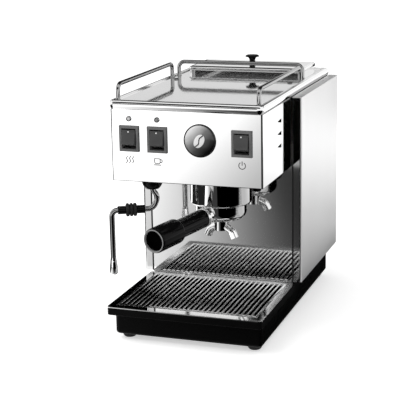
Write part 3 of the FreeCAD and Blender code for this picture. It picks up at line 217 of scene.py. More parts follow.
mouldings = {
    "blackEnamel": {"colour": (grey(0.002), grey(0.004)), "rough": (0.22, 0.34), "shine": 0.06,
                    "wear": (20, 20, 20), "grain": (900, 900, 900), "relief": 0.05, "depth": 0.0003},
    "blackPlastic": {"colour": (grey(0.002), grey(0.004)), "rough": (0.28, 0.40), "shine": 0.06,
                     "wear": (30, 30, 30), "grain": (1800, 1800, 1800), "relief": 0.10, "depth": 0.0003},
    "handleBlack": {"colour": (grey(0.002), grey(0.004)), "rough": (0.08, 0.15), "shine": 0.08,
                    "wear": (60, 60, 60), "grain": (700, 700, 700), "relief": 0.04, "depth": 0.0003},
    "switchBlack": {"colour": (grey(0.130), grey(0.165)), "rough": (0.30, 0.42), "shine": 0.3,
                    "wear": (80, 80, 80), "grain": (2600, 2600, 2600), "relief": 0.12, "depth": 0.0002},
    "rockerBlack": {"colour": (grey(0.055), grey(0.075)), "rough": (0.24, 0.34), "shine": 0.4,
                    "wear": (80, 80, 80), "grain": (2600, 2600, 2600), "relief": 0.08, "depth": 0.0002},
    "paleDot": {"colour": (grey(0.85), grey(0.92)), "rough": (0.30, 0.40), "shine": 0.4,
                "wear": (300, 300, 300), "grain": (900, 900, 900), "relief": 0.05, "depth": 0.0002},
    "signInk": {"colour": (grey(0.08), grey(0.13)), "rough": (0.45, 0.60), "shine": 0.3,
                "wear": (400, 400, 400), "grain": (2000, 2000, 2000), "relief": 0.05, "depth": 0.0002},
    # a darker grey lens for the coffee lamp; the steam lamp's lens is pale
    "lampDarkerLens": {"colour": (grey(0.22), grey(0.30)), "rough": (0.10, 0.18), "shine": 0.5,
                  "wear": (200, 200, 200), "grain": (900, 900, 900), "relief": 0.05, "depth": 0.0003},
    # the handle's end ring, mid grey and shiny where the handle is black: a painted highlight on the ring
    "ringPaintedHighlight": {"colour": (grey(0.18), grey(0.28)), "rough": (0.10, 0.16), "shine": 1.0,
                 "wear": (120, 120, 120), "grain": (700, 700, 700), "relief": 0.04, "depth": 0.0003},
    # flat matte black without shine for the plug in the handle's end recess: painted shade in the recess
    "recessPaintedShade": {"colour": (grey(0.001), grey(0.002)), "rough": (0.70, 0.85), "shine": 0.0,
                  "wear": (120, 120, 120), "grain": (700, 700, 700), "relief": 0.04, "depth": 0.0003},
    "rimBlack": {"colour": (grey(0.006), grey(0.012)), "rough": (0.12, 0.20), "shine": 0.4,
                 "wear": (120, 120, 120), "grain": (700, 700, 700), "relief": 0.02, "depth": 0.0003},
    "glossBlack": {"colour": (grey(0.003), grey(0.005)), "rough": (0.06, 0.12), "shine": 0.12,
                   "wear": (50, 50, 50), "grain": (300, 300, 300), "relief": 0.02, "depth": 0.0003},
    "blackRubber": {"colour": (grey(0.010), grey(0.018)), "rough": (0.55, 0.75), "shine": 0.3,
                    "wear": (60, 60, 60), "grain": (1200, 1200, 1200), "relief": 0.2, "depth": 0.0003},
    "tankPlastic": {"colour": (grey(0.74), grey(0.80)), "rough": (0.18, 0.30), "shine": 0.5,
                    "wear": (20, 20, 20), "grain": (200, 200, 200), "relief": 0.05, "depth": 0.0003},
    "lampLens": {"colour": (grey(0.60), grey(0.72)), "rough": (0.10, 0.18), "shine": 0.5,
                 "wear": (200, 200, 200), "grain": (900, 900, 900), "relief": 0.05, "depth": 0.0003},
    "copper": {"colour": ((0.62, 0.36, 0.22, 1), (0.74, 0.46, 0.30, 1)), "rough": (0.25, 0.40), "shine": 0.5,
               "metal": 1.0, "wear": (30, 30, 30), "grain": (300, 300, 300), "relief": 0.05, "depth": 0.0003},
    "brass": {"colour": ((0.66, 0.52, 0.24, 1), (0.76, 0.61, 0.31, 1)), "rough": (0.25, 0.38), "shine": 0.5,
              "metal": 1.0, "wear": (40, 40, 40), "grain": (400, 400, 400), "relief": 0.05, "depth": 0.0003},
    "siliconeHose": {"colour": (grey(0.68), grey(0.76)), "rough": (0.40, 0.55), "shine": 0.4,
                     "wear": (40, 40, 40), "grain": (400, 400, 400), "relief": 0.05, "depth": 0.0003},
    "greyCasing": {"colour": (grey(0.38), grey(0.46)), "rough": (0.40, 0.55), "shine": 0.4,
                   "wear": (30, 30, 30), "grain": (700, 700, 700), "relief": 0.1, "depth": 0.0003},
}
# the badge's painted highlight and shade: pale at the upper left, black at the lower right
badgeHighlightShade = {"middle": (0.020, -0.1405, 0.281), "run": (15.5, 0, -17.0), "mottle": (160, 160, 160),
             "rough": (0.06, 0.12), "shine": 0.4,
             "stops": ((0.06, 0.90), (0.26, 0.50), (0.44, 0.17), (0.66, 0.05), (0.92, 0.004))}

finishes = {name: metalFinish(name, spec) for name, spec in metals.items()}
finishes.update({name: metalFinish(name, metals[fold["sheet"]], fold) for name, fold in folds.items()})
finishes.update({name: mouldedFinish(name, spec) for name, spec in mouldings.items()})
finishes["badgeHighlightShade"] = badgePaintedLightFinish("badgeHighlightShade", badgeHighlightShade)
slotFinish = {
    "black_enamel": "blackEnamel", "black_rubber": "blackRubber", "polished_steel": "polishedSteel",
    "satin_steel": "satinSteel", "bright_chrome": "chrome", "zinc_steel": "zincPlate",
    "black_plastic": "blackPlastic", "gloss_black": "glossBlack", "clear_plastic": "tankPlastic",
    "lamp_lens": "lampLens", "boiler_copper": "copper", "fitting_brass": "brass",
    "hose_silicone": "siliconeHose", "card_grey": "greyCasing"}
for row in frame["record"]["subparts"]:
    frame["nodes"][row["node"]].material_slots[0].material = finishes[slotFinish[row["material_slot"]]]
for name, fold in folds.items():
    for node in fold["nodes"]:
        frame["nodes"][node].material_slots[0].material = finishes[name]
print("finishes made:", len(finishes))


# Modelling tools

mergeGap = 1e-6
hairline = 1e-6                               # an inset too thin to see: the sunk face gets straight walls
sharpFrom = math.radians(35)                  # edges that turn further than this are shaded sharp


def finishPiece(name, bm, finish, body, slot, *replaced):
    mesh = bpy.data.meshes.new(name)
    bm.to_mesh(mesh)
    bm.free()
    for face in mesh.polygons:
        face.use_smooth = True
    mesh.set_sharp_from_angle(angle=sharpFrom)
    mesh.materials.append(finishes[finish])
    piece = bpy.data.objects.new(name, mesh)
    bpy.context.collection.objects.link(piece)
    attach(piece, body)
    if replaced:
        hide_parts(*replaced)


def spot(x, y, z):                            # millimetres to metres
    return Vector((x, y, z)) / 1000


def aimed(place, axis):                       # carries the Z axis of a turned shape to place and axis
    turn = Vector(axis).to_track_quat("Z", "Y").to_matrix().to_4x4()
    return Matrix.Translation(place) @ turn


def tidyMesh(bm):
    bmesh.ops.remove_doubles(bm, verts=bm.verts, dist=mergeGap)
    bmesh.ops.recalc_face_normals(bm, faces=bm.faces)


def joined(into, bm):                         # adds one bmesh to another
    if into is None:
        return bm
    mesh = bpy.data.meshes.new("joining")
    bm.to_mesh(mesh)
    bm.free()
    into.from_mesh(mesh)
    bpy.data.meshes.remove(mesh)
    return into


def turned(profile, place, axis=(0, 0, 1), into=None, steps=64):   # profile rows: radius, height, rounding
    bm = bmesh.new()
    rows = [(bm.verts.new(spot(radius, 0, height)), sum(rounding) / 1000)
            for radius, height, *rounding in profile]
    corners = [vert for vert, rounding in rows]
    for first, second in zip(corners, corners[1:]):
        bm.edges.new((first, second))
    for vert, rounding in rows:
        if rounding:
            bmesh.ops.bevel(bm, geom=[vert], offset=rounding, segments=6, profile=0.5, affect="VERTICES",
                            material=-1)
    bmesh.ops.spin(bm, geom=bm.verts[:] + bm.edges[:], cent=(0, 0, 0), axis=(0, 0, 1), angle=2 * math.pi,
                   steps=steps, use_merge=True, use_duplicate=False)
    tidyMesh(bm)
    bmesh.ops.transform(bm, matrix=aimed(place, axis), verts=bm.verts)
    return joined(into, bm)


def block(low, high, into=None, ease=0.0, segments=3):   # a box with eased edges, corners in millimetres
    bm = bmesh.new()
    low, high = spot(*low), spot(*high)
    bmesh.ops.create_cube(bm, size=1, matrix=Matrix.LocRotScale((low + high) / 2, None, high - low))
    if ease:
        bmesh.ops.bevel(bm, geom=bm.edges[:], offset=ease / 1000, segments=segments, profile=0.5,
                        affect="EDGES", material=-1)
    return joined(into, bm)


def vertsOf(geometry):
    return [item for item in geometry if isinstance(item, bmesh.types.BMVert)]


def edgesOf(geometry):
    return [item for item in geometry if isinstance(item, bmesh.types.BMEdge)]


def pushed(bm, loop, travel):                 # carries an edge loop on, and gives its far end
    made = bmesh.ops.extrude_edge_only(bm, edges=loop)["geom"]
    bmesh.ops.translate(bm, verts=vertsOf(made), vec=travel)
    return [edge for edge in edgesOf(made) if len(edge.link_faces) == 1]


def bentRod(points, radius, bends, into=None, sides=32, steps=10, squeeze=None):   # runs and tangent bends
    bm = bmesh.new()
    points = [Vector(point) for point in points]
    bends = bends if isinstance(bends, tuple) else (bends,) * (len(points) - 2)
    bmesh.ops.create_circle(bm, radius=radius / 1000, segments=sides,
                            matrix=aimed(points[0], points[1] - points[0]))
    if squeeze:                               # an oval section
        bmesh.ops.scale(bm, vec=squeeze, space=Matrix.Translation(-points[0]), verts=bm.verts)
    loop = bm.edges[:]
    bmesh.ops.edgeloop_fill(bm, edges=loop)
    here = points[0]
    for before, corner, after, bend in zip(points, points[1:], points[2:], bends):
        bend = bend / 1000
        back, ahead = (before - corner).normalized(), (after - corner).normalized()
        half = back.angle(ahead) / 2
        reach = bend / math.tan(half)
        loop = pushed(bm, loop, corner + back * reach - here)
        centre = corner + (back + ahead).normalized() * (bend / math.sin(half))
        swept = bmesh.ops.spin(bm, geom=loop, cent=centre, axis=back.cross(ahead), angle=2 * half - math.pi,
                               steps=steps, use_duplicate=False)
        loop = edgesOf(swept["geom_last"])
        here = corner + ahead * reach
    loop = pushed(bm, loop, points[-1] - here)
    bmesh.ops.edgeloop_fill(bm, edges=loop)
    tidyMesh(bm)
    return joined(into, bm)


# Places shared by several pieces, in millimetres

splashY = 2.4
headFront = splashY - 142.5
coverFloor = 328.4
switchX = {"steam": -78.5, "coffee": -39.0, "power": 77.0}
outFront = (0, -1, 0)


# Front controls: framed housings, tilted rockers with a pale dot, lamps, badge and printed signs

switch = {"wide": 27.6, "tall": 34.6, "proud": 3.0, "lip": 3.8, "cut": 2.8, "body": 25.0, "well": 22.0,
          "z": 279.5, "edge": 0.8, "pivot": 7.0, "tilt": 15.0, "halfWide": 9.4, "ease": 0.7, "easeFrom": 0.3,
          "side": ((-13.1, -10.1), (-12.85, -5.0), (-12.7, 0), (-12.8, 4.6), (-13.0, 9.0), (-3, 10.4), (2, 8),
                   (2, -8), (-3, -11.5)),
          "pin": [(0, -11.5), (1.5, -11.5), (1.5, 11.5), (0, 11.5)],
          "dot": [(0, -0.4), (0.95, -0.4), (0.95, 0.25, 0.1), (0, 0.25)], "dotPlace": (0, -12.9, 6.4)}


def faceTowards(bm, way):                     # of the faces turned that way, the one furthest out
    way = Vector(way)
    return max(bm.faces, key=lambda face: face.normal.dot(way) + 0.01 * face.calc_center_median().dot(way))


def makeFrame(name, x):
    bm = block((x - switch["wide"] / 2, headFront - switch["proud"], switch["z"] - switch["tall"] / 2),
               (x + switch["wide"] / 2, headFront, switch["z"] + switch["tall"] / 2))
    bm.normal_update()
    front, back = faceTowards(bm, outFront), faceTowards(bm, (0, 1, 0))
    outer = front.edges[:]
    bmesh.ops.inset_region(bm, faces=[front], thickness=switch["lip"] / 1000, use_even_offset=True)
    mouth = front.edges[:]
    bmesh.ops.inset_region(bm, faces=[front], thickness=hairline, depth=-switch["well"] / 1000)
    bmesh.ops.inset_region(bm, faces=[back], thickness=switch["cut"] / 1000, use_even_offset=True)
    bmesh.ops.inset_region(bm, faces=[back], thickness=hairline, depth=switch["body"] / 1000)
    bmesh.ops.bevel(bm, geom=outer + mouth, offset=switch["edge"] / 1000, segments=3, profile=0.5,
                    affect="EDGES", material=-1)
    finishPiece(f"{name}_switch_frame", bm, "switchBlack", "machine", "gloss_black",
                f"{name}_switch_housing")


def makeRocker(name, x):
    bm = bmesh.new()
    side = bm.faces.new([bm.verts.new(spot(-switch["halfWide"], y, z)) for y, z in switch["side"]])
    moved = bmesh.ops.extrude_face_region(bm, geom=[side])["geom"]
    bmesh.ops.translate(bm, verts=vertsOf(moved), vec=spot(2 * switch["halfWide"], 0, 0))
    tidyMesh(bm)
    bmesh.ops.bevel(bm, geom=[edge for edge in bm.edges if edge.calc_face_angle(0) > switch["easeFrom"]],
                    offset=switch["ease"] / 1000, segments=3, profile=0.5, affect="EDGES", material=-1)
    pivot = Matrix.Translation(spot(x, headFront + switch["pivot"], switch["z"])) @ Matrix.Rotation(
        -math.radians(switch["tilt"]), 4, "X")
    bmesh.ops.transform(bm, matrix=pivot, verts=bm.verts)
    turned(switch["pin"], pivot.translation, (1, 0, 0), into=bm, steps=24)
    finishPiece(f"{name}_rocker_cap", bm, "rockerBlack", f"{name}_switch", "gloss_black", f"{name}_rocker")
    dot = turned(switch["dot"], pivot @ spot(*switch["dotPlace"]), pivot.to_3x3() @ Vector(outFront),
                 steps=24)
    finishPiece(f"{name}_rocker_dot", dot, "paleDot", f"{name}_switch", "lamp_lens")


def makeSwitches():
    for name, x in switchX.items():
        makeFrame(name, x)
        makeRocker(name, x)
    print("switches modelled")


lamp = {"z": 306.0, "ring": [(2.5, -1), (3.6, -1), (3.6, 1.5, 0.5), (2.7, 1.8, 0.3), (2.5, 0.8), (2.5, -1)],
        "lens": [(0, -2), (2.5, -2), (2.5, 0.9, 0.3), (1.7, 1.5, 0.4), (0, 1.8)]}


def makeLamps():                              # the steam lens stands for both lamps of the solid
    for name, finish, replaced in (("steam", "lampLens", ("indicator_lamps",)), ("coffee", "lampDarkerLens", ())):
        place = spot(switchX[name], headFront, lamp["z"])
        finishPiece(f"{name}_lamp_ring", turned(lamp["ring"], place, outFront, steps=40), "lampRing",
                    "machine", "bright_chrome")
        finishPiece(f"{name}_lamp_lens", turned(lamp["lens"], place, outFront, steps=40), finish,
                    "machine", "lamp_lens", *replaced)


badge = {"x": 20.0, "z": 281.0, "beanTurn": 32.0, "bean": (6.6, 1.0, 9.6), "beanOut": 3.3,
         "rim": [(20.4, 0), (22, 0), (22, 1.6, 0.6), (20.9, 2.0, 0.5), (20.4, 1.2), (20.4, 0)],
         "domeRadius": 20.4, "domeEdge": 1.2, "domeRise": 2.3, "domeSteps": 8,
         "crease": ((0.6, 9.4), (-1.6, 3.4), (1.6, -3.4), (-0.6, -9.4)), "creaseOut": 0.75,
         "creaseLine": 0.75, "creaseBend": 4.0}


def makeBadge():
    place = spot(badge["x"], headFront, badge["z"])
    finishPiece("badge_rim", turned(badge["rim"], place, outFront, steps=96), "rimBlack", "machine",
                "gloss_black", "front_badge")
    radius, edge, rise = badge["domeRadius"], badge["domeEdge"], badge["domeRise"]
    turns = [step * math.pi / 2 / badge["domeSteps"] for step in range(1, badge["domeSteps"])]
    dome = [(0, 0), (radius, 0), (radius, edge)]
    dome += [(radius * math.cos(turn), edge + rise * math.sin(turn)) for turn in turns] + [(0, edge + rise)]
    # the dome carries the badge's painted highlight and shade
    finishPiece("badge_dome", turned(dome, place, outFront, steps=96), "badgeHighlightShade", "machine", "gloss_black")
    lean = Matrix.Translation(place + spot(0, -badge["beanOut"], 0)) @ Matrix.Rotation(
        math.radians(badge["beanTurn"]), 4, "Y")
    bean = bmesh.new()
    bmesh.ops.create_uvsphere(bean, u_segments=40, v_segments=24, radius=0.001)
    bmesh.ops.scale(bean, vec=badge["bean"], verts=bean.verts)
    bmesh.ops.transform(bean, matrix=lean, verts=bean.verts)
    finishPiece("badge_bean", bean, "paleDot", "machine", "lamp_lens")
    crease = [lean @ spot(x, -badge["creaseOut"], z) for x, z in badge["crease"]]
    line = bentRod(crease, badge["creaseLine"], badge["creaseBend"], sides=12)
    finishPiece("bean_crease", line, "rimBlack", "machine", "gloss_black")
    print("badge modelled")


sign = {"z": 251.0, "line": 0.65, "sink": 0.25, "size": 1.3, "wisps": (-3.4, 0, 3.4), "ring": 3.6,
        "ringTurns": range(32, 340, 37)}


def makeSigns():
    bm = bmesh.new()

    def line(name, points, bend):
        way = [spot(switchX[name] + u * sign["size"], headFront + sign["sink"], sign["z"] + v * sign["size"])
               for u, v in points]
        bentRod(way, sign["line"], bend * sign["size"], into=bm, sides=10, steps=6)

    for u in sign["wisps"]:                   # three wisps of steam
        line("steam", [(u - 0.9, -3.6), (u + 0.9, -1.2), (u - 0.9, 1.2), (u + 0.9, 3.6)], 0.9)
    line("coffee", [(-3.6, 2.4), (-3.6, -2.6), (2.4, -2.6), (2.4, 2.4)], 1.8)   # a cup
    line("coffee", [(2.4, 1.6), (4.6, 1.6), (4.6, -1.2), (2.4, -1.2)], 1.0)     # its ear
    line("coffee", [(-4.6, -4.0), (3.4, -4.0)], 1.0)                            # its saucer
    line("coffee", [(-4.0, 2.4), (2.8, 2.4)], 1.0)                              # its rim
    line("power", [(0, 0.2), (0, 4.4)], 1.0)
    turns = [math.radians(angle) for angle in sign["ringTurns"]]
    line("power", [(sign["ring"] * math.sin(turn), sign["ring"] * math.cos(turn)) for turn in turns], 2.0)
    finishPiece("printed_signs", bm, "signInk", "machine", "black_plastic")


makeSwitches()
makeLamps()
makeBadge()
makeSigns()


# Handle, wand and seam beads

handle = {"foot": (25.6, splashY - 76, 173.0), "turn": 15.2, "slope": 2.5,
          "grip": [(0, 47), (12.3, 47, 0.5), (12.7, 48.2, 0.4), (12.7, 106, 1.0), (13.4, 107, 0.4),
                   (15.6, 107.2, 0.8), (16.5, 109.4, 1.2), (16.5, 153.6, 1.6), (15.4, 156, 1.2),
                   (14.1, 156, 0.6), (13.6, 154.6, 0.5), (13.3, 147.5, 0.8), (0, 147.5)],
          "ring": [(13.3, 153.4), (13.6, 156, 0.4), (14.5, 156.5, 0.5), (15.4, 156, 0.4), (14.6, 154.6),
                   (13.3, 153.4)],
          "plug": [(0, 147.3), (13.2, 147.3), (13.2, 148.2, 0.3), (0, 148.2)],
          "ferrule": [(0, 41), (12.2, 41), (13.0, 41.6, 0.4), (13.0, 44.2, 0.6), (12.2, 44.7, 0.3),
                      (12.9, 45.4, 0.3), (12.7, 47, 0.3), (0, 47)]}


def makeHandle():
    turn, slope = math.radians(handle["turn"]), math.radians(handle["slope"])
    axis = (-math.sin(turn) * math.cos(slope), -math.cos(turn) * math.cos(slope), -math.sin(slope))
    place = spot(*handle["foot"])
    finishPiece("handle_moulding", turned(handle["grip"], place, axis, steps=96), "handleBlack",
                "portafilter", "black_plastic", "handle_grip")
    # the end ring is coloured lighter than the handle as a painted highlight
    finishPiece("handle_ring", turned(handle["ring"], place, axis, steps=96), "ringPaintedHighlight", "portafilter",
                "black_plastic")
    # the plug's matte black is painted shade in the end recess
    finishPiece("handle_plug", turned(handle["plug"], place, axis), "recessPaintedShade", "portafilter",
                "black_plastic")
    finishPiece("handle_collar", turned(handle["ferrule"], place, axis, steps=96), "chrome", "portafilter",
                "bright_chrome", "handle_ferrule")
    print("handle modelled")


wand = {"x": -57.5, "y": splashY - 118, "swing": 28.0, "ballZ": 213.5, "ball": 7.0, "tube": 3.7,
        "armZ": 179.5, "reach": 56.0, "tipZ": 90.0,
        "nut": [(3.75, 0), (5.0, 0), (5.6, 0.7, 0.3), (5.6, 10.3, 0.3), (5.0, 11), (3.75, 11), (3.75, 0)],
        "nuts": (11.0, 37.0), "sleeveAt": 22.0,
        "sleeve": [(3.75, 0), (6.6, 0, 0.5), (9.0, 0.9, 0.9), (9.0, 4.0, 0.9), (7.2, 4.8, 0.5),
                   (7.2, 5.4, 0.5), (9.0, 6.0, 0.9), (9.0, 9.0, 0.9), (7.2, 9.6, 0.5), (7.2, 10.2, 0.5),
                   (9.0, 11.0, 0.9), (9.0, 14.1, 0.9), (6.6, 15, 0.5), (3.75, 15), (3.75, 0)],
        "pipe": [(0, 213.5), (0, 205.5), (-7, 196.5), (-1, 179.5), (56, 179.5), (56, 113)],
        "bends": (11.5, 11.5, 11.5, 7.5),
        "nozzle": [(1.6, 0), (3.6, 0, 0.8), (5.3, 1.8, 1.2), (5.6, 8.0, 3.0), (4.9, 15, 4.0), (4.1, 21, 3.0),
                   (3.85, 24, 0.2), (2.0, 24), (1.6, 0)]}


def makeWand():
    swing = math.radians(wand["swing"])
    way = Vector((-math.cos(swing), -math.sin(swing), 0))

    def along(reach, z):                      # a place on the wand's own upright plane
        return spot(wand["x"], wand["y"], z) + way * reach / 1000

    pipe = bentRod([along(reach, z) for reach, z in wand["pipe"]], wand["tube"], wand["bends"], steps=14)
    bmesh.ops.create_uvsphere(pipe, u_segments=40, v_segments=24, radius=wand["ball"] / 1000,
                              matrix=Matrix.Translation(along(0, wand["ballZ"])))
    # the pipe takes the rails' darkened chrome: painted shade
    finishPiece("wand_pipe", pipe, "railChromePaintedShade", "steam_wand", "bright_chrome", "wand_tube")
    bm = None
    for reach in wand["nuts"]:
        bm = turned(wand["nut"], along(reach, wand["armZ"]), way, into=bm, steps=48)
    finishPiece("wand_collars", bm, "glossBlack", "steam_wand", "black_plastic", "wand_nuts")
    sleeve = turned(wand["sleeve"], along(wand["sleeveAt"], wand["armZ"]), way)
    finishPiece("wand_sleeve", sleeve, "blackRubber", "steam_wand", "black_plastic", "wand_grip")
    nozzle = turned(wand["nozzle"], along(wand["reach"], wand["tipZ"]))
    finishPiece("wand_tip", nozzle, "chrome", "steam_wand", "bright_chrome", "wand_nozzle")
    print("wand modelled")


seam = {"x": 106.3, "half": 1.1, "proud": 0.6, "ease": 0.28, "low": 53.2, "high": 221.4, "tongueHalf": 0.55,
        "tongueFront": 0.1, "tongueBack": 2.3}


def makeSeams():                              # rubber beads between the splash plate and the side panels
    bm = None
    for x in (-seam["x"], seam["x"]):
        bm = block((x - seam["half"], splashY - seam["proud"], seam["low"]),
                   (x + seam["half"], splashY, seam["high"]), into=bm, ease=seam["ease"])
        block((x - seam["tongueHalf"], splashY - seam["tongueFront"], seam["low"]),
              (x + seam["tongueHalf"], splashY + seam["tongueBack"], seam["high"]), into=bm)
    finishPiece("seam_beads", bm, "blackRubber", "machine", "black_rubber", "seam_seals")


makeHandle()
makeWand()
makeSeams()


# Rails, rolled edges, lid knob, screws, feet and the grid's bars

rails = {"bar": 2.9, "bend": 9.0, "top": 349.5, "foot": 321.5, "side": 97.0, "front": splashY - 132,
         "back": splashY + 74, "rearX": 94.7, "rearY": splashY + 97.3,
         "ring": [(2.9, 0), (3.7, 0), (3.7, 0.8, 0.4), (2.9, 1.0)]}


def makeRails():
    runs = {"left": [(-rails["side"], rails["front"]), (-rails["side"], rails["back"])],
            "right": [(rails["side"], rails["front"]), (rails["side"], rails["back"])],
            "rear": [(-rails["rearX"], rails["rearY"]), (rails["rearX"], rails["rearY"])]}
    for name, (first, last) in runs.items():
        way = [spot(*first, rails["foot"]), spot(*first, rails["top"]), spot(*last, rails["top"]),
               spot(*last, rails["foot"])]
        bm = bentRod(way, rails["bar"], rails["bend"], steps=16)
        for x, y in (first, last):
            turned(rails["ring"], spot(x, y, coverFloor), into=bm, steps=40)
        # the rails' chrome is darkened: painted shade
        finishPiece(f"{name}_rail_rod", bm, "railChromePaintedShade", "machine", "bright_chrome", f"cup_rail_{name}")


rim = {"x": 103.1, "front": -140.7, "back": 213.5, "z": 324.2, "high": 6.1, "wide": 0.525, "bend": 5.0}
lidEdge = {"x": 86.2, "front": splashY + 120.8, "back": splashY + 202.2, "z": 336.4, "high": 2.9,
           "wide": 0.72, "bend": 4.0}


def rolledEdge(spec, corners, **fineness):
    return bentRod([spot(x, y, spec["z"]) for x, y in corners], spec["high"], spec["bend"],
                   squeeze=(spec["wide"], 1, 1), **fineness)


def makeRims():                               # the rolled edges of the cup tray and of the lid
    x, front, back = rim["x"], rim["front"], rim["back"]
    roll = rolledEdge(rim, [(-x, back), (-x, front), (x, front), (x, back)], sides=40, steps=14)
    finishPiece("tray_rolled_edge", roll, "polishedSteel", "machine", "polished_steel")
    x, front, back = lidEdge["x"], lidEdge["front"], lidEdge["back"]
    seamY = 0.5 * (front + back)
    roll = rolledEdge(lidEdge, [(-x, seamY), (-x, front), (x, front), (x, back), (-x, back), (-x, seamY)],
                      steps=12)
    finishPiece("lid_rolled_edge", roll, "polishedSteel", "lid", "polished_steel")


small = {"knob": [(0, 0), (5.6, 0), (5.0, 0.8, 0.4), (4.4, 1.6, 0.6), (4.4, 10.9, 5.0), (10.3, 11.0, 0.4),
                  (10.3, 12.5, 0.9), (8.2, 13.9, 1.3), (0, 14.5)],
         "knobPlace": (0, splashY + 161.5, 340.0),
         "screw": [(0, -3), (2, -3), (2, 0), (3.6, 0), (3.6, 0.7, 0.3), (2.9, 1.6, 0.6), (1.5, 1.8),
                   (1.5, 0.7), (0, 0.7)],
         "shelfX": (-86, 86), "shelfY": splashY + 60,
         "foot": [(0, 0), (7.5, 0, 1.2), (10.2, 3.6, 2.2), (10.0, 7.0, 1.0), (8.6, 8), (0, 8)],
         "footX": (-90, 90), "footY": (splashY - 135, splashY + 196.5),
         "back": ((-108, 217.5), (0, 215.1), (108, 217.5)), "backZ": (66, 306)}   # each column's x and depth


def makeSmallParts():
    finishPiece("knob_mushroom", turned(small["knob"], spot(*small["knobPlace"])), "glossBlack", "lid",
                "gloss_black", "lid_knob")
    bm = None
    for x in small["shelfX"]:
        bm = turned(small["screw"], spot(x, small["shelfY"], coverFloor), into=bm, steps=40)
    finishPiece("shelf_screws", bm, "screwSteel", "machine", "bright_chrome", "cover_screws")
    bm = None
    for x in small["footX"]:
        for y in small["footY"]:
            bm = turned(small["foot"], spot(x, y, 0), into=bm, steps=48)
    finishPiece("foot_buttons", bm, "blackRubber", "machine", "black_rubber", "rubber_feet")
    bm = None
    for x, depth in small["back"]:
        for z in small["backZ"]:
            bm = turned(small["screw"], spot(x, splashY + depth, z), (0, 1, 0), into=bm, steps=32)
    finishPiece("back_screws", bm, "zincPlate", "machine", "zinc_steel")
    print("rails, knob, screws and feet modelled")


grid = {"half": 99.2, "front": splashY - 155.7, "back": splashY - 7.3, "low": 49.8, "top": 51.0, "slots": 28,
        "margin": 6.0, "slot": 4.2, "end": 7.0, "endSink": 0.02, "ease": 0.35}


def makeGrid():
    half, front, back = grid["half"], grid["front"], grid["back"]
    pitch = 2 * (half - grid["margin"]) / (grid["slots"] - 1)
    edges = [-half]
    for number in range(grid["slots"]):
        middle = grid["margin"] - half + number * pitch
        edges += [middle - grid["slot"] / 2, middle + grid["slot"] / 2]
    edges.append(half)
    bars = [(left, right, front, back, grid["top"]) for left, right in zip(edges[::2], edges[1::2])]
    for low, high in ((front, front + grid["end"]), (back - grid["end"], back)):
        bars.append((-half, half, low, high, grid["top"] - grid["endSink"]))
    bm = bmesh.new()
    for left, right, low, high, top in bars:
        block((left, low, grid["low"]), (right, high, top), into=bm, ease=grid["ease"], segments=2)
    finishPiece("grid_bars", bm, "barSteel", "grid", "satin_steel", "drip_grid")
    print("grid modelled")


makeRails()
makeRims()
makeSmallParts()
makeGrid()


# Stage: floor, light, the cards that the steel mirrors, and the camera

def onFloor(left, right, front, back, z=0.001):
    return [(left, front, z), (right, front, z), (right, back, z), (left, back, z)]


def upright(left, right, y, low, high):
    return [(left, y, low), (right, y, low), (right, y, high), (left, y, high)]


